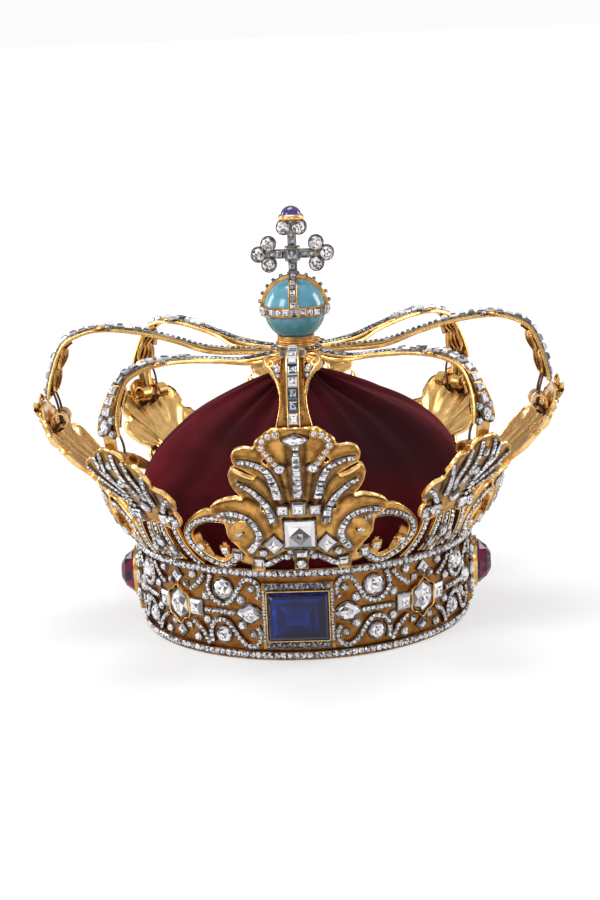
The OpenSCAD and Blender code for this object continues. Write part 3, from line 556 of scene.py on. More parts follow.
def set_in(shape, spot, n, across, w, h, rise, high, seed, lift=0.0, fill=1.0, sides=16, point=0.0, wall=0.55,
           bright=None):
    """A collet and its stone, which stands lift over the collet's foot and fills that share of its width."""
    stone = set_stones(shape, spot + n * lift, n, across, w * fill, h * fill, rise, seed, point, bright)
    return collet(shape, spot, n, across, w, h, high, sides, point, wall), stone


def stone_rise(w):
    """How far a stone rises, by its width."""
    return 1 + w / 8


def oval(sides, w, h):
    """The profile of a round or oval wire."""
    return (circle(sides)[:, :2] * [w, h])[::-1]


for i, name in enumerate(PLACES):
    main, side = 90 * ((i + 1) // 2), 1 if i % 2 == 0 else -1
    groups = [("field_stones_" + name, [(main + side * s[0], *s[1:]) for s in BAND])]
    if i % 2 == 1:
        groups.append(("rosette_stones_" + name, [(45 * i + s[0], *s[1:]) for s in ROSETTE]))
    for node, places in groups:
        settings, sets = [], []
        for k, (turn, share, w, h, shape, point) in enumerate(places):
            middle, n = on_band(turn, 0.0, share * circlet_h)
            rise = stone_rise(w)
            keep(set_in(shape, middle, n, axes(turn)[1], w, h, rise, 0.42 * rise, 31 * i + k, 0.35, stone_share,
                        point=point),
                 settings, sets)
        made = lay(node.replace("stones", "brilliants"), sets)
        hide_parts(node)
        metalwork(node.replace("stones", "collets"), settings)
    if i % 2 == 1:
        a = full_turn(120)
        wave = 1 + 0.09 * np.cos(6 * a)
        path, n = on_band(45 * i, 8.3 * wave * np.sin(a), circlet_h / 2 + 9.7 * wave * np.cos(a), 1.0)
        piece("rosette_wire_" + name, *swept(path, n, oval(8, 0.55, 1.3), True), "gold", [bright_gold], 60)

# The four main stones: step-cut sapphires in front and behind, high-crowned garnets at the
# sides. Each sits in a thin polished gold lip on the band's flat bezel, with a row of small stones
# over and under it. The sapphires have such rows beside them too, the garnets three ovals on each side.
band_mid = circlet_h / 2
sapphire_blue = stone_finish("sapphire_blue", [
    (0.2, (0.003, 0.003, 0.016)), (0.5, (0.005, 0.006, 0.042)), (0.74, (0.005, 0.010, 0.10)),
    (0.92, (0.006, 0.02, 0.20)), (1.0, (0.02, 0.08, 0.42))], 0.05, 1.77, 0.2, 90)
garnet_red = stone_finish("garnet_red", [
    (0.2, (0.007, 0.002, 0.005)), (0.6, (0.018, 0.002, 0.007)), (0.88, (0.045, 0.003, 0.014)),
    (1.0, (0.17, 0.009, 0.05))], 0.06, 1.77, 0.2, 70)


def step_cut(w, h, rise, seed):
    """A rectangular stone: nested rectangles with clipped corners. The outer ones step up to the
    table, the inner ones sit in it and carry painted reflections of the steps of its underside as lighter and darker
    bands."""
    steps = [(1, 0), (1, 0.42), (0.9, 0.8), (0.8, 1), (0.62, 1.0), (0.46, 1.0), (0.27, 1.0), (0.1, 1.0)]
    corner = np.array([[1, 0.97], [0.975, 1], [-0.975, 1], [-1, 0.97], [-1, -0.97], [-0.975, -1], [0.975, -1],
                       [1, -0.97]])
    inset = (1 - np.array([s for s, _ in steps])) * min(w, h) / 2
    points = np.stack([np.concatenate([corner * [w / 2 - d, h / 2 - d * 0.96], np.full((8, 1), z * rise)], 1)
                       for d, (_, z) in zip(inset, steps)])
    back, table = np.arange(8)[None, ::-1], 7 * 8 + np.arange(8)[None]
    rng = np.random.default_rng(seed)
    light = np.concatenate([rng.uniform(0.0, 0.42, 8) if n < 3 else rng.uniform(0.05, 0.6, 8) for n in range(7)])
    light[16:24:4] = 0.55
    light[[42, 50]] = 0.66
    return points.reshape(-1, 3), [quads(8, 8), table, back], [light, np.array([0.5]), np.array([0.0])]


HIGH_OVAL = cut(12, [(1, 0, 0), (1, 0.16, 0), (0.9, 0.45, 0.5), (0.66, 0.8, 0), (0.36, 1, 0.5)])
LIP = np.array([[0.5, -0.2], [0.42, 0.35], [0.1, 0.7], [-0.3, 0.75], [-0.5, 0.4], [-0.5, -0.2]])
for name, node, turn, w, h, rise in (("sapphire_cut_front", "sapphire_front", 0, 31, 25.4, 5.1),
                                     ("sapphire_cut_back", "sapphire_back", 180, 31, 25.4, 5.1),
                                     ("garnet_cut_right", "garnet_right", 90, 22, 27, 11.7),
                                     ("garnet_cut_left", "garnet_left", 270, 22, 27, 11.7)):
    out, right = axes(turn)
    seat = out * (field_r(band_mid) + 1.8) + up * band_mid
    corner = [w / 2 + 0.5, h / 2 + 0.5]
    settings, stones, greys = [], [], []
    if w > h:
        flat, faces, light = step_cut(w, h, rise, turn + 5)
        placed = seat + flat[:, :1] * right + flat[:, 1:2] * up + flat[:, 2:] * out
        made = lay(name, [(placed, faces, light)], "sapphire", sapphire_blue)
        edge = outline_of(np.array([[1, 1], [-1, 1], [-1, -1], [1, -1]]) * corner, 1.5)[:-1]
    else:
        made = lay(name, [set_stones(HIGH_OVAL, seat, out, right, w, h, rise, turn)], "garnet", garnet_red)
        edge = circle(64)[:, :2] * corner
    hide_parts(node)
    path = edge[:, :1] * right + (edge[:, 1:] + band_mid) * up + out * (field_r(band_mid) + 3.3)
    piece(name + "_lip", *swept(path, out, LIP if w > h else LIP * [1, 3.2], True), "gold", [bright_gold], 35)
    for above in (1, -1):
        path = (np.linspace(-1, 1, 30)[:, None] * (w / 2 + 1.5) * right + up * (band_mid + above * (h / 2 + 2.9))
                + out * (field_r(band_mid) + 1.87))
        keep(stone_row(path, out, 2.6, 2.6, 0.7, turn + 40 + above, wide=1.2), settings, greys if w > h else stones)
    for s in (-1, 1):
        if w > h:
            path = (np.linspace(-1, 1, 24)[:, None] * (h / 2 + 1.2) * up + up * band_mid + right * s * (w / 2 + 2.0)
                    + out * (field_r(band_mid) + 1.5))
            keep(stone_row(path, out, 1.7, 1.7, 0.7, turn + 50 + s), settings, stones)
        else:
            for k, dz in enumerate((-9.6, 0, 9.6)):
                spot = right * s * (w / 2 + 2.3) + up * (band_mid + dz) + out * (field_r(band_mid) + 1.6)
                lean = unit(out + right * s * 0.35)
                keep(set_in(BRILLIANT, spot, lean, right, 4.6, 8.6, 2.0, 0.8, turn + 60 + k + s), settings, stones)
    metalwork(name + "_channels", settings)
    lay(name + "_rows", stones)
    if greys:
        lay(name + "_grey_rows", greys, material=dark_stone)

# The palmettes: eight chased gold leaves screwed to the circlet's top edge, four wide ones with
# open scrolls and four narrow ones on open feet. Each is one sheet with rounded rims, ridges under
# its rows of stones, and creases between its lobes.
upper_turn = 1.8
LEAN = smooth([(0, 0), (0.107, 0.147), (0.253, 0.274), (0.473, 0.402), (0.657, 0.68), (0.827, 0.897), (1, 1)], 8)
foot_r, foot_z = rail_r(circlet_h) - 0.3, circlet_h + 0.1
RISE, REACH, HALF = [82, 67, 72, 67] * 2, [41, 43, 48, 43] * 2, [34, 27] * 4
leaf_gold = gold("chased_gold", (0.25, 0.105, 0.022), (0.66, 0.35, 0.095), 0.23, 0.45)


def turn_of(i):
    """Turn of a palmette and its arch from the front."""
    return 45 * i + upper_turn


def leaf_radius(i, z):
    """Radius of a palmette's face at height z: its foot, and its reach times the leaning curve."""
    share = (np.asarray(z, float) - foot_z) / RISE[i]
    return foot_r + REACH[i] * np.interp(share, LEAN[:, 0], LEAN[:, 1])


def on_leaf(i, x, z, out=0.0, turn=None):
    """Points on a palmette's face, x to the right of its middle and out from its surface."""
    z = np.asarray(z, float)
    slope = (leaf_radius(i, z + 0.6) - leaf_radius(i, z - 0.6)) / 1.2
    return on_round(turn_of(i) if turn is None else turn, x, z, leaf_radius(i, z), slope, out)


def leaf_z(i, share):
    """Height of a share of a palmette's rise."""
    return foot_z + RISE[i] * np.asarray(share)


def drawn(i, shares, side=1):
    """A list of shares of half width and rise as millimetres."""
    p = np.asarray(shares, float)
    return np.stack([side * p[:, 0] * HALF[i], leaf_z(i, p[:, 1])], 1)


WIDE = [(0, 1.03), (0.22, 1.03), (0.37, 0.985), (0.48, 0.95), (0.56, 0.925), (0.6, 0.885), (0.75, 0.89),
        (0.87, 0.868), (0.915, 0.82), (0.87, 0.765), (0.94, 0.745), (0.985, 0.69), (0.93, 0.605), (0.81, 0.52),
        (0.93, 0.525), (1.1, 0.505), (1.26, 0.465), (1.31, 0.42), (1.2, 0.375), (1.1, 0.33), (1.06, 0.25), (0.92, 0.18)]
WIDE_FOOT = [(0.8, 0.12), (0.74, 0.05), (0.74, -0.05), (0.54, -0.05), (0.5, 0.05), (0.3, 0.1), (0.15, 0.12),
             (0.12, 0.06), (0.12, -0.05)]
WIDE_BEADS = [(0.27, 0.967, 3.5), (0.375, 0.957, 3.4), (0.455, 0.93, 3.4), (0.475, 0.888, 3.4), (0.42, 0.85, 3.3),
              (0.36, 0.815, 3.1), (0.305, 0.78, 2.9)]
WIDE_RIBS = [  # with the widths of the first and last stone; the last one has no ridge under it
    ([(0.84, 0.8), (0.65, 0.79), (0.46, 0.745), (0.35, 0.65), (0.29, 0.52)], 2.1, 3.9),
    ([(0.87, 0.65), (0.72, 0.61), (0.565, 0.54), (0.44, 0.45), (0.38, 0.34)], 2.0, 3.7),
    ([(1.19, 0.395), (0.95, 0.405), (0.73, 0.365), (0.62, 0.3), (0.6, 0.24), (0.74, 0.15)], 2.2, 3.2),
    ([(0.56, 0.045), (0.35, 0.09), (0.12, 0.145)], 2.6, 2.4)]
WIDE_CREASES = [
    [(0.62, 0.7), (0.46, 0.61), (0.36, 0.5), (0.32, 0.38)], [(0.81, 0.52), (0.52, 0.43), (0.43, 0.32)],
    [(0.6, 0.885), (0.41, 0.8), (0.27, 0.7), (0.2, 0.56), (0.17, 0.45)], [(0.13, 0.92), (0.13, 0.7), (0.1, 0.52)]]
WIDE_SLIT = [(0.88, 0.772), (0.76, 0.745), (0.6, 0.692), (0.62, 0.672), (0.78, 0.705), (0.89, 0.735)]
WIDE_TEARS = [(0.43, 0.785, 1.2), (0.50, 0.445, 1.4)]
NARROW = [(0, 1.03), (0.22, 0.99), (0.4, 0.94), (0.42, 0.89), (0.62, 0.9), (0.8, 0.85), (0.84, 0.77), (0.78, 0.71),
          (0.96, 0.685), (1, 0.61), (0.88, 0.53), (0.7, 0.48), (0.76, 0.42), (0.7, 0.35), (0.5, 0.31), (0.26, 0.33),
          (0, 0.33)]
NARROW_RIBS = [
    ([(0.16, 0.63), (0.2, 0.8), (0.17, 0.97)], 2.9, 2.3), ([(0.24, 0.58), (0.38, 0.74), (0.4, 0.92)], 2.9, 2.2),
    ([(0.3, 0.53), (0.54, 0.68), (0.78, 0.83)], 3.0, 2.2), ([(0.38, 0.46), (0.64, 0.56), (0.93, 0.63)], 2.9, 2.2),
    ([(0.42, 0.39), (0.58, 0.43), (0.7, 0.41)], 2.5, 2.2)]
NARROW_CREASES = [[(0.42, 0.89), (0.44, 0.78), (0.3, 0.62)], [(0.78, 0.71), (0.55, 0.62), (0.36, 0.5)],
                  [(0.7, 0.48), (0.5, 0.47), (0.36, 0.43)]]
NARROW_BARS = [[(0.5, 0.36), (0.56, 0.18), (0.66, 0.0)], [(0.17, 0.36), (0.23, 0.2), (0.27, 0.03)],
               [(0, 0.36), (0, 0.0)]]
narrow_fill = 0.85


def nearest(points, paths):
    """Distance of each point to the nearest point of any path."""
    q = np.concatenate(paths)
    out = np.empty(len(points))
    for k in range(0, len(points), 2000):
        out[k:k + 2000] = np.sqrt(((points[k:k + 2000, None] - q[None]) ** 2).sum(-1)).min(1)
    return out


def within(points, loops):
    """Whether each point lies inside an odd number of closed outlines."""
    odd = np.zeros(len(points), bool)
    x, y = points[:, :1], points[:, 1:]
    for a in loops:
        b = np.roll(a, -1, 0)
        cross = (a[:, 1] > y) != (b[:, 1] > y)
        with np.errstate(divide="ignore", invalid="ignore"):
            at = a[:, 0] + (y - a[:, 1]) * (b[:, 0] - a[:, 0]) / (b[:, 1] - a[:, 1])
        odd ^= (cross & (x < at)).sum(1) % 2 == 1
    return odd


def chased(edges, ribs, creases, ridge=0.8, swell=0.75, curl=1.5):
    """The relief of a chased sheet at flat points: each lobe swells away from its edge and creases, rises
    by a bell over a rib, sinks along a crease, and turns up to a thin rim and over it at its edge. Gives
    the height, and how bright the spot is painted: 1 on the rim, polish with a painted highlight, down to -1,
    painted shade, in the depth of a crease, beside a rib and a little inside the edge."""
    def relief(flat):
        d_edge, d_crease, d_rib = nearest(flat, edges), nearest(flat, creases), nearest(flat, ribs)
        height = swell * (1 - np.exp(-(np.minimum(d_edge, d_crease) / 3.0) ** 2)) + ridge * np.exp(-(d_rib / 2.4) ** 2)
        height += 0.5 * np.exp(-((d_edge - 0.55) / 0.42) ** 2) - 0.3 * np.clip(1 - d_edge / 0.4, 0, 1)
        height += curl * np.exp(-(d_edge / 2.4) ** 2) * np.clip(np.abs(flat[:, 0]) / 16 - 0.6, 0, 1)
        height -= 0.7 * np.exp(-(d_crease / 1.0) ** 2) * np.clip(d_edge / 1.5, 0, 1)
        # deep is painted shade: in creases, beside ribs and a little inside the edge
        deep = np.maximum(0.75 * np.exp(-((d_rib - 2.5) / 1.1) ** 2), np.exp(-(d_crease / 1.3) ** 2))
        deep = np.maximum(deep, 0.45 * np.exp(-((d_edge - 2.0) / 0.8) ** 2))
        return height, np.exp(-(d_edge / 0.62) ** 2) - deep * np.clip(d_edge / 1.2 - 0.4, 0, 1)
    return relief


def sheet_of(i, loops, relief, thick=1.5, grid=1.1):
    """A chased sheet, with how bright each point is painted. Its outlines, points beside them and a grid inside them
    are joined by triangles and raised by the relief; the back is the same sheet, a wall's thickness behind, with
    a painted highlight over most of it."""
    edge = np.concatenate(loops)
    low, high = edge.min(0), edge.max(0)
    gx, gz = np.meshgrid(np.arange(low[0], high[0], grid), np.arange(low[1], high[1], grid))
    gx = gx + np.where(np.arange(len(gx)) % 2, grid / 2, 0)[:, None]
    inner = np.stack([gx.ravel(), gz.ravel()], 1)
    inner = inner[nearest(inner, [edge]) > 1.7]
    rims, start = [], 0
    for q in loops:
        ahead = unit(np.roll(q, -1, 0) - np.roll(q, 1, 0))
        across = np.stack([-ahead[:, 1], ahead[:, 0]], 1)
        for far in (0.5, 1.1):
            beside = np.concatenate([q + far * across, q - far * across])
            inner = np.concatenate([inner, beside[nearest(beside, [edge]) > 0.92 * far]])
        k = start + np.arange(len(q))
        rims += list(zip(k.tolist(), np.roll(k, -1).tolist()))
        start += len(q)
    inner = inner[within(inner, loops)]
    cdt = delaunay_2d_cdt([Vector(p) for p in np.concatenate([edge, inner]).tolist()], rims, [], 0, 1e-5)
    flat, tri = np.array([tuple(v) for v in cdt[0]]), np.array(cdt[2])
    tri = tri[within(flat[tri].mean(1), loops)]
    height, shine = relief(flat)
    front, _ = on_leaf(i, flat[:, 0], flat[:, 1], height)
    back, _ = on_leaf(i, flat[:, 0], flat[:, 1], -thick + 0.8 * height)
    n = len(flat)
    a, b, c = flat[tri].transpose(1, 0, 2)
    flip = ((b - a)[:, 0] * (c - a)[:, 1] - (b - a)[:, 1] * (c - a)[:, 0]) < 0
    tri[flip] = tri[flip][:, ::-1]
    pairs = np.concatenate([tri[:, [0, 1]], tri[:, [1, 2]], tri[:, [2, 0]]])
    _, first, count = np.unique(np.sort(pairs, 1), axis=0, return_index=True, return_counts=True)
    a, b = pairs[first[count == 1]].T
    faces = [tri, tri[:, ::-1] + n, np.stack([b, a, a + n, b + n], 1)]
    # the back's brightness, 0.7 plus 0.3 times the front's, is a painted highlight
    return np.concatenate([front, back]), faces, np.concatenate([shine, 0.7 + 0.3 * shine])


def petal(path, normal, widths, dome, thick=0.9, ribs=0.0, across=9):
    """A leaf carried along a path: each section is an arch of the given height and half width, with a
    sharp middle vein when ribs is over 0, and a wall behind it."""
    s = np.linspace(-1, 1, across)
    w = np.asarray(widths, float)[:, None]
    d = np.broadcast_to(dome, len(path))[:, None]
    top = np.stack([s * w, d * (1 - s ** 2) - ribs * np.exp(-(s / 0.22) ** 2) * np.minimum(w, 1)], -1)
    low = np.stack([s[::-1] * w * 0.97, d * (1 - s[::-1] ** 2) - thick * np.minimum(w, 1) * np.ones_like(s)], -1)
    return swept(path, normal, np.concatenate([top, low], 1)[:, ::-1])


def tapered(n, most, start=0.25, end=0.05):
    """Half widths of a leaf: narrow at its foot, widest before its middle, pointed at its end."""
    return most * np.interp(np.linspace(0, 1, n), [0, 0.15, 0.4, 0.75, 0.93, 1], [start, 0.75, 1, 0.8, 0.4, end])


def chased_piece(name, parts):
    """One piece of chased gold out of several (points, faces, painted brightness). The last is a value for each
    point, for each point of a section, or for all: above 0 polish with a painted highlight, below 0 painted shade."""
    points, faces = joined([part[:2] for part in parts])
    rim = np.concatenate([np.resize(shine, len(p)) for p, _, shine in parts])
    # rim carries the painted highlight and painted shade to the gold material
    return piece(name, points, faces, "gold", [leaf_gold], 42, {"rim": rim})


def row_on_leaf(i, flat, first, last, relief, seed):
    """A row of stones along a line drawn on a palmette, on top of its relief."""
    path, normal = on_leaf(i, flat[:, 0], flat[:, 1], relief(flat)[0] - 0.15)
    return stone_row(path, normal, first, last, 0.7, seed, wide=1.25, shape=TABLE)


def on_relief(i, relief, x, z, sunk, least=-9.0):
    """A point on a palmette's relief, less sunk, at shares of its half width and rise."""
    flat = drawn(i, [(x, z)])
    return on_leaf(i, *flat[0], max(least, float(relief(flat)[0][0]) - sunk))


scroll_turn = 27.4
OPEN_SCROLL = [(17.5, 0.34), (22, 0.36), (26.2, 0.355), (31, 0.31), (33.6, 0.245), (33.4, 0.165), (30, 0.075),
               (25.3, 0.028), (21.4, 0.06), (17.4, 0.13)]
BAR_Y = [-1.7, 0.3, 0.75, 0.2, 0.2, 0.75, 0.3, -1.7]
BAR = [[-2.0, -1.6], [-2.0, 0.2], [-1.7, 0.5], [-1.4, 0.3]]
# painted highlight with polish along the bar's two raised edges, none in its middle groove
BAR_SHINE = [0.2, 0.7, 1, 0.0, 0.0, 1, 0.7, 0.2]
STRIP = [[-2.9, -0.45], [-2.9, 0.45]]
crest_w, crest_d = 15.6, 5.2
STAR = cut(4, [(1, 0, 0), (1, 0.3, 0), (0.76, 0.85, 0), (0.5, 1, 0.5), (0.2, 1, 0)], True)
STAR_LIGHT = [  # of the facets with three corners, those with four, and the back
    np.array([0.7, 0.6, 0.5, 0.6, 0.92, 0.5, 0.42, 0.8, 0.03, 0.3, 0.34, 0.04, 0.04, 0.3, 0.26, 0.03, 0.6, 0.04, 0.05,
              0.45]), np.array([0.4, 0.4, 0.6, 0.5, 0.95, 0.7, 0.5, 0.85]), np.array([0.0])]
WIDE_STONES = [  # half width share, rise share, width, height, cut, point
    (0, 0.273, crest_w, crest_w, STAR, 0), (0, 0.445, crest_w * 0.42, crest_w * 0.46, STEP, 0),
    (0, 0.93, crest_w * 0.8, crest_w * 0.34, BRILLIANT, 0.5), (0, 0.055, crest_d, crest_d * 1.2, BRILLIANT, 0),
    (0, 0.135, crest_w * 0.4, crest_w * 0.26, SQUARE, 0),
    *[(s * x, z, w, h, shape, 0) for s in (-1, 1) for x, z, w, h, shape in (
        (0.235, 0.43, crest_d * 0.9, crest_d * 0.95, SQUARE), (0.385, 0.2, 10.4, 12.2, KITE),
        (0.235, 0.745, crest_d, crest_d, BRILLIANT), (0.2, 0.115, 3.4, 3.4, BRILLIANT),
        (0.55, 0.14, 4.2, 4.2, BRILLIANT),
        (0.9, 0.275, small_d * 1.1, small_d * 1.1, KITE), (0.93, 0.12, small_d, small_d, STEP),
        (0.62, 0.07, small_d * 1.1, small_d * 1.1, STEP))]]
NARROW_STONES = [
    (0, 0.5, crest_w * 0.5, crest_w * 0.64, KITE, 0), (0, 0.2, small_d, crest_w * 0.56, BRILLIANT, 0),
    (0, 0.72, 4.4, 5.6, BRILLIANT, 0), (0, 0.87, 3.6, 4.4, BRILLIANT, 0),
    *[(s * x, z, w, h, shape, 0) for s in (-1, 1) for x, z, w, h, shape in (
        (0.36, 0.4, crest_d, crest_d, STEP), (0.25, 0.13, small_d * 0.8, crest_w * 0.44, BRILLIANT),
        (0.62, 0.38, small_d, small_d, BRILLIANT))]]
screw_metal = gold("dark_bronze", (0.045, 0.026, 0.014), (0.19, 0.115, 0.06), 0.3, 0.5)


def screw(spot, normal, r=1.7, high=1.3):
    """A round-headed screw with a chamfer: rings of sixteen corners, and a flat top."""
    n = unit(np.asarray(normal, float))
    u = unit(np.cross(n, [0.3, 0.2, 0.9]))
    x, y, _ = circle(16).T
    rings = [spot + (np.outer(x, u) + np.outer(y, np.cross(n, u))) * q + n * z
             for q, z in ((r, -0.6), (r, high * 0.7), (r * 0.75, high))]
    k = np.arange(16)[None]
    return np.concatenate(rings), [quads(3, 16), 32 + k, k[:, ::-1]]


def mirrored(left):
    """A profile out of its left half."""
    left = np.array(left)
    return np.vstack([left, left[::-1] * [-1, 1]])[::-1]


def wire(path, r):
    """A round wire along a path."""
    ahead = unit(np.gradient(path, axis=0))
    start = np.array([0.31, 0.17, 0.93])
    return swept(path, start - ahead * (ahead @ start)[:, None], oval(8, r, r))


for i, name in enumerate(PLACES):
    wide, right = i % 2 == 0, axes(turn_of(i))[1]
    row_lines, crease_lines = (WIDE_RIBS, WIDE_CREASES) if wide else (NARROW_RIBS, NARROW_CREASES)
    half = drawn(i, np.vstack([smooth(WIDE, 6), WIDE_FOOT]) if wide else smooth(NARROW, 6))
    half[:, 1] = np.clip(half[:, 1], foot_z, leaf_z(i, 1))
    outline = np.vstack([half, half[::-1] * [-1, 1]])
    outline = outline[np.linalg.norm(outline - np.roll(outline, 1, 0), axis=1) > 1e-3]
    loops, ribs, creases = [outline], [], []
    for side in (-1, 1):
        if wide:
            loops.append(drawn(i, WIDE_SLIT, side))
            loops += [drawn(i, [(x, z)], side) + 1.4 * r * ring_of(10, 1, 0)[:, :2] * [0.8, 1.3]
                      for x, z, r in WIDE_TEARS]
            ribs.append(even(drawn(i, [q[:2] for q in WIDE_BEADS], side), 0.6))
        ribs += [curve(drawn(i, q[0], side), 0.6) for q in (row_lines[:3] if wide else row_lines)]
        creases += [curve(drawn(i, q, side), 0.6) for q in crease_lines]
    if wide:
        ribs.append(even(drawn(i, [(0, 0.54), (0, 0.895)]), 0.6))
    loops = [outline_of(q, 0.85)[:-1] for q in loops]
    relief = chased([outline_of(q, 0.3) for q in loops], ribs, creases)
    parts = [sheet_of(i, loops, relief)]
    beds, stones, screws, lips = [], [], [], []
    for side in (-1, 1):
        slim = 1 if wide else narrow_fill
        for k, (q, first, last) in enumerate(row_lines):
            seed = 300 + 20 * i + 2 * k + side
            keep(row_on_leaf(i, curve(drawn(i, q, side)), slim * first, slim * last, relief, seed), beds, stones)
        if wide:
            for k, (x, z, w) in enumerate(WIDE_BEADS):
                keep(set_in(BRILLIANT, *on_relief(i, relief, side * x, z, 0.2), right, w, w, 1.3, 0.75,
                            900 + 10 * i + k + side, 0.3, sides=10), lips, stones)
            # the open scroll beside the palmette: a gold band that swells at its shoulder, with a row of stones
            turn = turn_of(i) + side * scroll_turn
            a, z = smooth(OPEN_SCROLL, 6).T
            z = leaf_z(i, z)
            flat = even(np.stack([side * leaf_radius(i, z) * np.sin(np.radians(a - scroll_turn)), z], 1), 0.9)
            path, normal = on_leaf(i, *flat.T, 0.0, turn)
            s = np.linspace(0, 1, len(path))
            slender = 2.5 + 0 * s
            swollen = slender + 2.6 * np.exp(-((s - 0.22) / 0.1) ** 2) + 0.5 * np.exp(-((s - 0.6) / 0.2) ** 2)
            left, far = (swollen, slender) if side < 0 else (slender, swollen)
            x = np.stack([-left, -left, -left + 0.4, -left + 0.9, far - 0.9, far - 0.4, far, far], 1)
            section = np.stack([x, np.broadcast_to(BAR_Y, x.shape)], -1)[:, ::-1]
            parts.append((*swept(path, normal, section), BAR_SHINE))
            keep(stone_row(path + normal * 0.3, normal, 2.3, 3.3, 0.7, 340 + 4 * i + side), beds, stones)
            inner_x = leaf_radius(i, leaf_z(i, 0.155)) * math.sin(math.radians(3.0))
            for x, z, w, shape in ((inner_x, 0.155, 4.4, BRILLIANT), (-8.6, 0.145, 3.6, STEP)):
                spot, n = on_leaf(i, side * x, leaf_z(i, z), 0.6, turn)
                keep(set_in(shape, spot, n, axes(turn)[1], w, w, 1.6, 0.7, 350 + i + side, sides=10), lips, stones)
            # leaves in the open scroll, one of which carries the outer stone
            path, normal = on_leaf(i, np.full(10, side * -8.6), leaf_z(i, np.linspace(0.02, 0.19, 10)), -0.3, turn)
            parts.append((*petal(path, normal, tapered(10, 2.9, 0.6, 0.3), 0.8), 0.2))
            for lean, up_to, w in (((-1.5, 1.2, 4.2, 1.5), 0.24, 3.6), ((2.0, 3.5, 3.0, -1.2), 0.16, 2.4)):
                x, z = curve(np.stack([np.array(lean) * side, leaf_z(i, np.linspace(0.06, up_to, 4))], 1), 0.8).T
                path, normal = on_leaf(i, x + side * 2.6, z, -0.6, turn)
                parts.append((*petal(path, normal, tapered(len(path), w), 1.1, 0.9, 0.3), 0.15))
            # a tongue over the palmette's shoulder and a petal along its foot
            x, z = even(smooth([(0.76, 0.35), (0.84, 0.33), (0.93, 0.29), (0.99, 0.22)], 6) * [HALF[i], RISE[i]], 0.8).T
            path, normal = on_leaf(i, side * x, foot_z + z, 1.5)
            widths = 3.3 * np.interp(np.linspace(0, 1, len(path)), [0, 0.2, 0.7, 0.92, 1], [0.5, 0.8, 1, 0.75, 0.15])
            parts.append((*petal(path, normal, widths, 1.0), 0.1))
            x, z = curve([(33, 12), (30.5, 8), (26, 5.2), (19, 3.8)], 0.8).T
            path, normal = on_leaf(i, side * x, foot_z + z, 0.2)
            parts.append((*petal(path, normal, tapered(len(path), 3.6, 0.7, 0.2), 0.9), 0.2))
        else:
            for k, bar in enumerate(NARROW_BARS[:2] if side > 0 else NARROW_BARS):
                path, normal = on_leaf(i, *curve(drawn(i, bar, side)).T, 0.0)
                parts.append((*swept(path, normal, mirrored(BAR)), BAR_SHINE))
                path, normal = path[1:-1], normal[1:-1]
                keep(stone_row(path + normal * 0.2, normal, 2.6, 2.8, 0.6, 360 + 4 * i + side + 2 * k), beds, stones)
        # a rolled loop of the sheet on the palmette's back, and the nut of the screw that holds the arch
        base, n = on_leaf(i, side * 6.6, leaf_z(i, 0.87), -1.6)
        along = unit(up - n * n[2])
        roll, size = np.linspace(0, 1.75 * np.pi, 26)[:, None], np.linspace(5.2, 2.0, 26)[:, None]
        path = base + n * (size * np.cos(roll) - size[0]) + along * (1.15 * size * np.sin(roll) - 2)
        parts.append((*swept(path, n * np.cos(roll) + along * np.sin(roll), mirrored(STRIP)), 0.5))
        spot, n = on_leaf(i, side * 3.4, leaf_z(i, 0.8), -1.6)
        screws += [screw(spot, -n, 2.0, 3.2), screw(spot - n * 3.0, -n, 1.1, 1.6)]
    if wide:
        bed, row = row_on_leaf(i, even(drawn(i, [(0, 0.53), (0, 0.9)]), 0.9), 3.8, 2.9, relief, 390 + i)
        beds.append(bed)
        lay("rib_stones_" + name, [row])
    if i % 4 == 2:
        # three small leaves roll over at the tip
        q = np.linspace(0, 1, 14)
        for side in (-1, 0, 1):
            path, n = on_leaf(i, side * (8 + 4 * q), leaf_z(i, 0.9 + 0.1 * np.minimum(q * 1.4, 1)), 0.4)
            path = path + n * (2.88 * np.sin(np.pi * 0.9 * q))[:, None] + np.outer(1.5 * np.sin(np.pi * q), up)
            parts.append((*petal(path, n, tapered(14, 4.6, 0.6), 1.2, 0.9, 0.5), 0.3))
    made = chased_piece("leaf_" + name, parts)
    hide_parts("palmette_" + name)
    metalwork("leaf_channels_" + name, beds)
    metalwork("leaf_screws_" + name, screws, screw_metal)
    if lips:
        metalwork("leaf_beads_" + name, lips, leaf_gold)
    lay("leaf_rows_" + name, stones)
    settings, sets = [], []
    for k, (x, z, w, h, shape, point) in enumerate(WIDE_STONES if wide else NARROW_STONES):
        rise = stone_rise(w)
        setting, stone = set_in(shape, *on_relief(i, relief, x, z, 0.5, 0.9), right, w, h, rise, 0.45 * rise,
                                400 + 20 * i + k, 0.3, stone_share, point=point)
        keep((setting, (*stone[:2], STAR_LIGHT) if shape is STAR else stone), settings, sets)
    made = lay("crest_brilliants_" + name, sets)
    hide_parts("crest_stones_" + name)
    metalwork("crest_collets_" + name, settings)

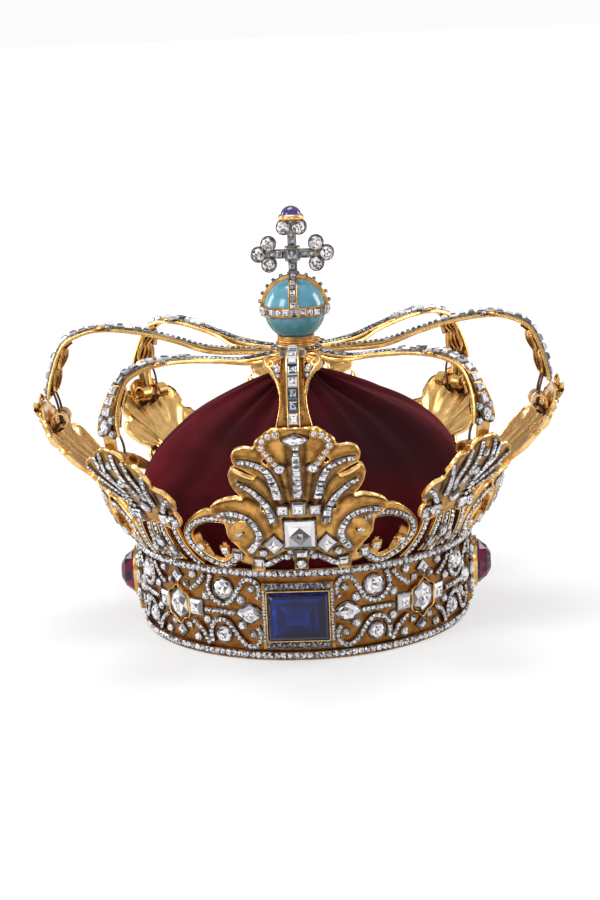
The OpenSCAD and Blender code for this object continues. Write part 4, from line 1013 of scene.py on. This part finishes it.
# The arches: eight gold strips from the hub to the palmettes' tips, each held there by two wires
# and their screws. The front and back ones hold table-cut stones in a channel; on the others the
# stones stand up singly. Leaf curls sit near the hub and at the crest.
hub_r, hub_z, arch_w, wall, strap_gap = 14.0, 146.8, 19.0, 2.2, 0.7
ARCH = [(0.34, 0.14), (0.48, 0.5), (0.62, 0.84), (0.77, 1), (0.87, 0.84), (0.945, 0.4)]
ARCH_BETWEEN = [(0.31, 0), (0.46, 0.44), (0.62, 0.86), (0.76, 1), (0.86, 0.78), (0.94, 0.08)]
ARCH_WIDTH = np.array([(0, 0.48), (0.05, 0.62), (0.1, 1), (0.16, 0.8), (0.24, 0.62), (0.4, 0.62), (0.44, 0.76),
                       (0.5, 0.62), (0.64, 0.64), (0.74, 0.78), (0.82, 1), (1, 1)])
LINED_WAIST, OPEN_WAIST = (([0.68, 0.75, 0.8, 0.88], [1, 0.84, 0.86, 1.06]),
                           ([0.12, 0.2, 0.7, 0.8], [1, 0.72, 0.72, 0.9]))
last_share, last_lined = 0.825, 0.88  # where the strips end, and the two that hold their stones in a channel
stones_from, stones_to, lined_stones_to, near_hub = 0.02, 0.77, 0.84, 0.3
ACANTHUS, TONGUE = (0.6, 0.81), (0.79, 0.95)
BEADS = [(0.598, 8.1, 1.9), (0.624, 7.6, 2.4), (0.648, 7.1, 1.9)]  # share, distance to the side, width
VOLUTE = [(5.0, 0.53), (6.6, 0.497), (9.6, 0.482), (12.4, 0.502), (13.3, 0.55), (11.8, 0.592), (9.7, 0.585),
          (9.4, 0.56), (10.6, 0.548)]
TAIL = [(12.2, 0.585), (10.6, 0.612), (8.8, 0.645), (7.2, 0.68), (6.0, 0.72)]
EYE_LEAF = [(5.6, 0.505), (8.0, 0.512), (10.4, 0.535), (10.2, 0.575), (8.4, 0.6), (7.0, 0.64)]
SINGLE = [(0.795, 0, 5.4, 7.4), *[(share, s * x, w, w) for share, x, w in (
    (0.772, 3.6, 3.6), (0.812, 4.4, 3.4), (0.43, 4.6, 2.8), (0.455, 4.9, 2.2)) for s in (-1, 1)]]
for i, name in enumerate(PLACES):
    out, right = axes(turn_of(i))
    odd, lined = i % 2 == 1, i % 4 == 0
    drawing, inset, crest_up = (ARCH_BETWEEN, 2.8, 7.8) if odd else (ARCH, 5.0, 15.6)
    tip_z = float(leaf_z(i, 1))
    tip = float(leaf_radius(i, tip_z)) - inset
    line = [(hub_r + 0.1, hub_z), *[(a * tip, hub_z + b * crest_up) for a, b in drawing],
            (tip, tip_z + 0.45 * (hub_z - tip_z))]
    line += [(float(leaf_radius(i, leaf_z(i, s))) - wall - strap_gap, float(leaf_z(i, s))) for s in (0.93, 0.8)]
    line = smooth(line, 12)
    line = even(np.column_stack([line, np.linspace(0, 1, len(line))]), 1.1)
    s = line[:, 2]
    all_path = line[:, :1] * out + line[:, 1:2] * up
    ahead = unit(np.gradient(line[:, :2], axis=0))
    all_normal = -ahead[:, 1:] * out + ahead[:, :1] * up
    all_ahead = unit(np.gradient(all_path, axis=0))

    def at(share):
        """Place, normal and direction on this arch at a share of its line."""
        k = int(np.argmin(np.abs(s - share)))
        return all_path[k], all_normal[k], all_ahead[k]

    def along_arch(shares):
        """Places and normals on this arch at many shares of its line."""
        place, normal = (np.stack([np.interp(shares, s, q) for q in line.T], 1) for line in (all_path, all_normal))
        return place, unit(normal)

    on_strip = s <= (last_lined if lined else last_share)
    path, normal, u = all_path[on_strip], all_normal[on_strip], s[on_strip]
    half = arch_w / 2 * np.interp(u, *ARCH_WIDTH.T) * np.interp(u, *(LINED_WAIST if lined else OPEN_WAIST))
    half = np.convolve(np.pad(half, 5, "edge"), np.ones(11) / 11, "valid")
    # shine: polish with a painted highlight on the lips and rails, painted shade below 0 in the hollows beside the
    # rails
    if lined:
        rail = np.minimum(3.1, half * 0.9)
        section = [(-half, -1.5), (-half, 0.1), (-half + 0.35, 0.5), (-half + 0.8, -0.1), (-(half + rail) / 2, -0.5),
                   (-rail - 0.3, -0.1), (-rail, 1.8), (-rail + 0.55, 1.8), (-rail + 0.6, 0.9)]
        shine = [0, 0.7, 1, 0, -0.5, -0.7, 1, 1, -0.8]
    else:
        rail = np.minimum(2.3, half * 0.8)
        section = [(-half, -1.4), (-half, 0.0), (-half + 0.35, 0.4), (-half + 0.8, -0.1), (-rail - 0.5, -0.2),
                   (-rail, 0.9), (-rail * 0.5, 0.9)]
        shine = [0, 0.7, 1, 0, -0.5, 0.6, 0]
    x = np.stack([x for x, _ in section] + [-x for x, _ in section[::-1]], 1)
    y = np.broadcast_to([y for _, y in section + section[::-1]], x.shape)
    parts = [(*swept(path, normal, np.stack([x, y], -1)[:, ::-1]), shine + shine[::-1])]
    beds, stones, dark, screws = [], [], [], []
    along = (u > stones_from) & (u < (lined_stones_to if lined else stones_to))
    first, last, fill, h, rise, lift, seed = (5.9, 5.9, 0.93, 5.0, 1.6, 0.9, 500)
    if not lined:
        # under the thin strips lies an acanthus leaf, from the crest down to the palmette
        leaf = (u > ACANTHUS[0]) & (u < ACANTHUS[1])
        parts.append((*petal(path[leaf] - normal[leaf] * 1.5, -normal[leaf], tapered(int(leaf.sum()), 4.6, 0.3, 0.5),
                             2.0, 1.1, 0.7), 0.3))
        near, along = along & (u < near_hub), along & (u >= near_hub)
        middle, n, t, w = along_row(path[near], normal[near], 2.9, 3.2)
        dark.append(set_stones(STEP, middle + n * 0.9, n, t, w * 0.8, 2.9, 1.3, 505 + i))
        first, last, fill, h, rise, lift, seed = (4.6, 5.4, 0.78, 4.0, 2.2, 1.0, 510)
    middle, n, t, w = along_row(path[along], normal[along], first, last)
    if not lined:
        beds += [collet(STEP, p + q * 0.9, q, a, b * 0.74, 3.9, 0.5, wall=0.3) for p, q, a, b in zip(middle, n, t, w)]
    lit = np.arange(len(middle)) % 3 == 0 if lined else np.arange(len(middle)) % 5 != 3
    for group, pick in ((stones, lit), (dark, ~lit)):
        spots = middle[pick] + n[pick] * lift
        group.append(set_stones(STEP, spots, n[pick], t[pick], w[pick] * fill, h, rise, seed + i))
    for side in (-1, 1):
        if lined:
            for share, x, w in BEADS:
                p, n, t = at(share)
                keep(set_in(BRILLIANT, p + right * side * x + n * 0.2, n, right, w, w, 1.3, 0.6, 520 + i + side,
                            sides=10), beds, stones)
            # an open scroll leaves the strip at the crest, turns in a volute and runs down to it again
            for points, w in ((VOLUTE, 1.1), (TAIL, 0.8)):
                x, share = smooth(points, 9).T
                spine, over = along_arch(share)
                parts.append((*petal(spine + right * side * x[:, None] + over * 0.3, over, np.full(len(x), w), 0.5, 2.6,
                                     0.0, 5), 0.5))
            # a fluted leaf fills the scroll's eye
            x, share = smooth(EYE_LEAF, 5).T
            spine, over = along_arch(share)
            parts.append((*petal(spine + right * side * x[:, None] - over * 0.6, over, tapered(len(x), 3.2, 0.6, 0.3),
                                 0.9, 0.9, 0.7), 0.15))
        else:
            p, n, t = at(0.44)
            q = np.linspace(0, 1, 12)[:, None]
            path = (p + t * (q - 0.2) * 6.5 + right * side * (2.6 + 4.4 * np.sin(2.0 * q))
                    + n * (0.2 + 1.2 * np.sin(np.pi * q)))
            parts.append((*petal(path, n, tapered(12, 2.1), 0.9, 0.7, 0.45), 0.1))
            q = np.linspace(0, 1, 16)[:, None]
            for share, w, reach in ((0.655, 3.4, 0.07), (0.715, 3.9, 0.08)):
                spine, over = along_arch(np.linspace(share, share + reach, 16))
                path = (spine + right * side * (2.4 + 2.6 * q ** 1.5)
                        - over * (2.2 + 1.8 * np.sin(np.pi * q) + 1.5 * q ** 4))
                parts.append((*petal(path, right * side * 0.5 - over, tapered(16, w, 0.5, 0.3), 1.4, 0.8, 0.7), 0.2))
        # the two wires that lead from the strip's end to the palmette, with a screw on each
        leg = s >= last_share - 0.04
        q = np.linspace(0, 1, leg.sum())[:, None]
        bow = 3.4 * np.sin(np.pi * q)
        screws.append(wire(all_path[leg] + right * side * (3.4 - 1.4 * q + 0.5 * bow) - all_normal[leg] * (1.7 + bow),
                           0.65))
        p, n, t = at(last_share - 0.01)
        spot = p + right * side * 3.4 - t * 1.5
        screws += [screw(spot + n * 0.1, n, 1.3, 0.9), screw(spot - n * 1.3, -n, 1.5, 1.2)]
    if odd:
        # a plain tongue of gold that carries on from the strip's end, down the palmette's back
        foot = (s > TONGUE[0]) & (s < TONGUE[1])
        widths = np.linspace(5.0, 3.6, foot.sum())
        parts.append((*petal(all_path[foot] - all_normal[foot] * 1.2, -all_normal[foot], widths, 0.8, 1.2, 0.4), 0.3))
    if not lined:
        for share, x, w, h in SINGLE:
            p, n, t = at(share)
            keep(set_in(BRILLIANT, p + right * x + n * (0.5 if x else 1.3), n, right, w, h, 1.0 + w / 6, 0.7,
                        540 + i + int(x * 2), sides=12), beds, stones)
    made = chased_piece("strip_" + name, parts)
    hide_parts("arch_" + name)
    metalwork("arch_collets_" + name, beds)
    metalwork("arch_screws_" + name, screws, screw_metal)
    lay("arch_rows_" + name, stones)
    lay("arch_tables_" + name, dark, material=dark_stone)

# The cap: crimson silk velvet with a lining, gathered under the hub and tucked down inside the
# circlet. One sheet with soft folds that run up to the peak; it sags a little on the wearer's right.
circlet_wall, cap_gap, cap_foot, swell, peak_gap, lining_in, sag = 1.8, 0.3, 14.0, 1.8, 6.0, 1.3, 5.2
hub_top = hub_z + 5 / 3
peak_z = hub_top - 5 - peak_gap
DOME = [(0.14, 0.99), (0.31, 1), (0.46, 0.955), (0.62, 0.84), (0.76, 0.655), (0.87, 0.42), (0.95, 0.2)]


def inner_r(z):
    """Radius of the circlet's inside at height z."""
    return field_r(z) - circlet_wall


def off(angle, middle):
    """How far an angle is from a middle one, between minus and plus half a turn."""
    return (angle - middle + np.pi) % (2 * np.pi) - np.pi


dome_r, dome_h = inner_r(circlet_h) - cap_gap + swell, peak_z - circlet_h
side_line = [(inner_r(z) - cap_gap, z) for z in (cap_foot, (cap_foot + circlet_h) / 2, circlet_h)]
side_line += [(p[1] * dome_r, circlet_h + p[0] * dome_h) for p in DOME] + [(0.0, peak_z)]
side_line = even(smooth(side_line, 10), 1.3)
round_steps, folds = 356, 11
angle = full_turn(round_steps)
share = np.clip((side_line[:, 1] - circlet_h) / dome_h, 0, 1)[:, None]
rng = np.random.default_rng(7)
fold = np.zeros((len(side_line), round_steps))
for k in range(folds):
    apart = off(angle, 2 * np.pi * (k + 0.35 * rng.uniform(-1, 1)) / folds)
    wide = rng.uniform(0.07, 0.16) * (1.25 - 0.4 * share)
    start, deep = rng.uniform(0.02, 0.3), rng.uniform(1.2, 2.8)
    grow = np.clip((share - start) / 0.5, 0, 1)
    fold = fold - deep * np.exp(-(apart / wide) ** 2) * grow ** 1.2
    fold = fold + 0.7 * deep * np.exp(-((apart - 1.6 * wide) / (0.9 * wide)) ** 2) * grow
for k, (waves, tall) in enumerate(((3, 0.9), (5, 0.7), (13, 0.35), (23, 0.2))):
    fold = fold + (tall * np.sin(waves * angle + 2.1 * k + 1.5 * share)
                   * np.sin(np.pi * np.clip(share * 1.1 + 0.05, 0, 1)) ** 0.7)
# a soft bump beside the hub, and no folds where the circlet holds the cloth
fold = fold + 3.6 * np.exp(-(off(angle, np.radians(-52)) / 0.34) ** 2) * np.exp(-((share - 0.975) / 0.035) ** 2)
fold = fold * np.clip((side_line[:, 1:2] - circlet_h - 2) / 14, 0, 1) - 0.5 * (share > 0)


def cap_skin(inward):
    """Points of the cap's outside, or of its lining that far inside, ring by ring from the foot."""
    ahead = unit(np.gradient(side_line, axis=0))
    r = np.maximum(side_line[:, :1] + ahead[:, 1:] * (fold - inward), 0)
    z = side_line[:, 1:2] - ahead[:, :1] * (fold - inward) + 0 * angle
    z = z - sag * np.sin(np.pi * share) * (0.5 - 0.5 * np.cos(angle)) ** 1.4
    return np.stack([r * np.cos(angle), r * np.sin(angle), z], -1)


outside, lining = cap_skin(0.0), cap_skin(lining_in)
rows, n = len(side_line) - 1, round_steps
peaks = [[0, 0, outside[-2, :, 2].mean() + 0.2], [0, 0, lining[-2, :, 2].mean()]]
points = np.concatenate([outside[:-1].reshape(-1, 3), lining[:-1].reshape(-1, 3), peaks])
skin = quads(rows, n)
k, k1 = np.arange(n), (np.arange(n) + 1) % n
total, peak = rows * n, 2 * rows * n
faces = [np.concatenate([skin, skin[:, ::-1] + total, np.stack([k, k + total, k1 + total, k1], 1)]),
         np.concatenate([np.stack([total - n + k, total - n + k1, np.full(n, peak)], 1),
                         np.stack([peak - n + k1, peak - n + k, np.full(n, peak + 1)], 1)])]
# painted shade on the cap: four soft dark patches on the upper dome, the deepest towards the front at +x
painted_cap_shade = np.zeros((rows, n))
for middle, wide, deep in ((-48, 0.7, 1.0), (-124, 0.3, 0.5), (150, 0.5, 0.6), (62, 0.4, 0.5)):
    painted_cap_shade += deep * np.exp(-(off(angle, np.radians(middle)) / wide) ** 2) * np.exp(-((share[:-1] - 0.72) / 0.4) ** 2)
painted_cap_shade = np.concatenate([painted_cap_shade.ravel(), painted_cap_shade.ravel(), [0.3, 0.3]])
velvet, shade, add = finish("crimson_velvet", 0, 0.85)
place = add("TexCoord", "Object")
nap = add("TexNoise", "Fac", {"Vector": place, "Scale": 28, "Detail": 4, "Distortion": 0.6})
tone = add("ValToRGB", "Color", {"Fac": nap}, [(0.35, (0.040, 0.0025, 0.0045)), (0.55, (0.070, 0.0035, 0.0070)),
                                               (0.72, (0.115, 0.0055, 0.0120))])
# the velvet is mixed towards near black where the cap has painted shade
cap_shade_mask = add("Attribute", "Fac", attribute_name="painted_cap_shade")
pile = add("TexNoise", "Fac", {"Vector": place, "Scale": 1500, "Detail": 3})
shade({"Base Color": add("Mix", 2, {"Factor": cap_shade_mask, 6: tone, 7: (0.014, 0.0016, 0.0032, 1)}, data_type="RGBA"),
       "Specular IOR Level": 0.08, "Sheen Weight": 0.2, "Sheen Roughness": 0.35, "Sheen Tint": (1.0, 0.14, 0.2, 1),
       "Normal": add("Bump", "Normal", {"Height": pile, "Strength": 0.35, "Distance": 0.0003})})
cap = piece("velvet_cap", points, faces, "velvet", [velvet], 80, {"painted_cap_shade": painted_cap_shade})
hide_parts("cap")

# The hub and the orb: a turned gold plate with a moulded collar, and a ball of turquoise enamel
# in a level gold band and two straps, all set with small stones.
hub_gold = gold("turned_gold", (0.34, 0.15, 0.035), (0.74, 0.42, 0.13), 0.3, 0.4)
repaint("hub", hub_gold)
orb_r = 16.8
orb_z, strap_r = hub_top + 4 + orb_r, orb_r + 0.9
ring = circle(72)
mouldings = [swept(ring * r + up * (hub_z + z), ring, oval(10, h, w), True)
             for r, z, w, h in ((10.3, 3.0, 1.0, 1.0), (9.6, 5.4, 0.8, 0.8), (13.9, 1.0, 0.7, 0.6))]
piece("hub_mouldings", *joined(mouldings), "gold", [hub_gold], 60)
bed, row = stone_row(ring * 12.2 + up * hub_top, ring * 0.2 + up, 2.4, 2.4, 0.6, 590, True)
metalwork("hub_channel", [bed])
lay("hub_stones", [row], material=dark_stone)

enamel, shade, add = finish("turquoise_enamel", 0, 0.22)
cloud = add("TexNoise", "Fac", {"Vector": add("TexCoord", "Object"), "Scale": 55, "Detail": 3, "Distortion": 0.4})
shade({"Base Color": add("ValToRGB", "Color", {"Fac": cloud}, [(0.36, (0.065, 0.26, 0.35)), (0.56, (0.12, 0.36, 0.455)),
                                                               (0.72, (0.20, 0.48, 0.57))]),
       "Coat Weight": 0.6, "Coat Roughness": 0.08})
lat, lon = np.linspace(-np.pi / 2, np.pi / 2, 49)[1:-1, None], full_turn(96)
ball = np.stack([orb_r * np.cos(lat) * np.cos(lon), orb_r * np.cos(lat) * np.sin(lon),
                 orb_z + orb_r * np.sin(lat) + 0 * lon], -1).reshape(-1, 3)
k, k1, top = np.arange(96), (np.arange(96) + 1) % 96, len(ball) - 96
poles = np.concatenate([np.stack([k1, k, np.full(96, len(ball))], 1),
                        np.stack([top + k, top + k1, np.full(96, len(ball) + 1)], 1)])
points = np.vstack([ball, [[0, 0, orb_z - orb_r], [0, 0, orb_z + orb_r]]])
ball = piece("enamel_ball", points, [quads(len(lat), 96), poles], "enamel", [enamel], 80)
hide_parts("orb")


def gem_strap(path, normal, w, gem, gap, seed, close=False):
    """A gold strap with two rounded lips and a silver bed, and its stones in turn square and round, as
    four sets."""
    h = w / 2
    lip = mirrored([[-h, -0.9], [-h, 0.7], [-h + 0.35, 1.0], [-h + 0.7, 0.75], [-h + 0.75, 0.2]])
    band = swept(path, normal, lip, close)
    middle, n, t, _ = along_row(path, normal, gap, gap, close)
    gems = []
    for k, shape in enumerate((STEP, BRILLIANT, STEP, SQUARE)):
        pick = np.arange(len(middle)) % 4 == k
        gems.append(set_stones(shape, middle[pick] + n[pick] * 0.3, n[pick], t[pick], gem, gem, 1.3, seed + k))
    return band, gems


ring = circle(120, 0.03)
level, gems = gem_strap(ring * strap_r + up * orb_z, ring, 5.2, 3.9, 4.36, 600, True)
bands, bright_gems, grey_gems = [level], gems[:3], gems[3:]
lean = np.radians(np.linspace(6.5, 173.5, 60))[:, None]
for turn, w in ((90, 4.6), (0, 2.7)):
    n = np.cos(lean) * [math.cos(math.radians(turn)), math.sin(math.radians(turn)), 0] + np.sin(lean) * up
    path = n * strap_r + up * orb_z
    band, gems = gem_strap(path, n, w, 3.2, 3.5, 610 + turn)
    bands.append(band)
    if turn == 90:
        bright_gems += [gems[0], gems[2]]
        grey_gems += [gems[1], gems[3]]
    else:
        middle, n, t, _ = along_row(path, n, 4.2, 4.2)
        grey_gems.append(set_stones(BRILLIANT, middle + n * 0.3, n, t, 2.7, 2.7, 2.2, 630))
straps = metalwork("orb_straps", bands, hub_gold)
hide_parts("orb_frame")
lay("orb_stones", bright_gems)
lay("orb_side_stones", grey_gems, material=dark_stone)

# The cross: a frame of darkened silver, with a round stone in each collet of its trefoils, square
# stones on its bars, four white beads in its corners, and a violet cabochon in a gold rim on top.
cross_z = orb_z + orb_r + 0.1 + 1.6 + 11
bar, trefoil, half_w, top_up = 4.6, 7.0, 18.2, 14.2
round_w, middle_w = 7.4, 5.9
repaint("cross", silver)
ROUNDS = [(s * (half_w + x), z) for s in (-1, 1) for x, z in ((0, 0), (-5.46, 5.46), (-5.46, -5.46))]
ROUNDS += [(s * 4.06, top_up) for s in (-1, 1)]
sets, settings, small = [], [], []
for side in (-1, 1):
    n, across = np.array([0, float(side), 0]), np.array([-float(side), 0, 0])

    def on_cross(x, z, out=0.0):
        """A place on this face of the cross."""
        return np.array([x, side * (bar / 2 + out), cross_z + z])

    for k, (x, z) in enumerate(ROUNDS):
        keep(set_in(BRILLIANT, on_cross(x, z), n, across, round_w, round_w, 2.6, 0.7, 650 + k + side, 0.2, sides=18,
                    wall=0.25, bright=0.75), settings, sets)
    spot = on_cross(0, 0, 0.46)
    keep(set_in(STAR, spot, n, across, middle_w, middle_w, 1.5, 0.7, 670 + side, 0.1, wall=0.6), settings, small)
    for x, z in ((-3.3, -3.3), (3.3, -3.3), (-3.3, 3.3), (3.3, 3.3)):
        sets.append(set_stones(SMALL, spot + n * 0.2 + across * x + up * z, n, across, 1.5, 1.5, 0.9, 4))
    for x, z, w in ((-6.6, 0, 3.6), (6.6, 0, 3.6), (0, 6.7, 3.8), (0, -6.4, 3.8), (0, -10.2, 3.4)):
        small.append(set_stones(STEP, on_cross(x, z), n, across, w, w, 1.1, 680 + int(x) + int(z) + side))
    for x, z, w in ((-10.6, 0, 2.0), (10.6, 0, 2.0), (0, 10.2, 1.7), (0, 17.6, 1.9), (-half_w + 1.8, 0, 1.6),
                    (half_w - 1.8, 0, 1.6)):
        sets.append(set_stones(SMALL, on_cross(x, z, 0.7), n, across, w, w, 1.2, 3))
lay("cross_tables", small, material=dark_stone)
made = lay("cross_brilliants", sets)
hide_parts("cross_stones")
metalwork("cross_collets", settings)

finial_foot, finial_r = cross_z + top_up + (trefoil + 1) / 2, 5.9
cabochon, shade, add = finish("violet_cabochon", 0, 0.05)
height = add("SeparateXYZ", "Z", {"Vector": add("TexCoord", "Object")})
height = add("MapRange", "Result", {"Value": height, "From Min": (finial_foot + 1.4) * 0.001,
                                    "From Max": (finial_foot + 7.2) * 0.001})
shade({"Base Color": add("ValToRGB", "Color", {"Fac": height}, [
    (0.0, (0.42, 0.07, 0.42)), (0.2, (0.12, 0.03, 0.40)), (0.45, (0.024, 0.013, 0.14)), (1.0, (0.014, 0.009, 0.045))]),
       "Coat Weight": 0.7})
repaint("finial_stone", cabochon)
ring = circle(48)
rim = np.array([[-1.2, -0.9], [-1.25, 0.3], [-0.8, 0.9], [0.3, 1.05], [1.3, 0.6], [1.7, 0.0], [1.7, -0.9]])
path = ring * finial_r + up * (finial_foot + 1.1)
piece("finial_rim", *swept(path, ring, rim[::-1], True), "gold", [bright_gold], 50)
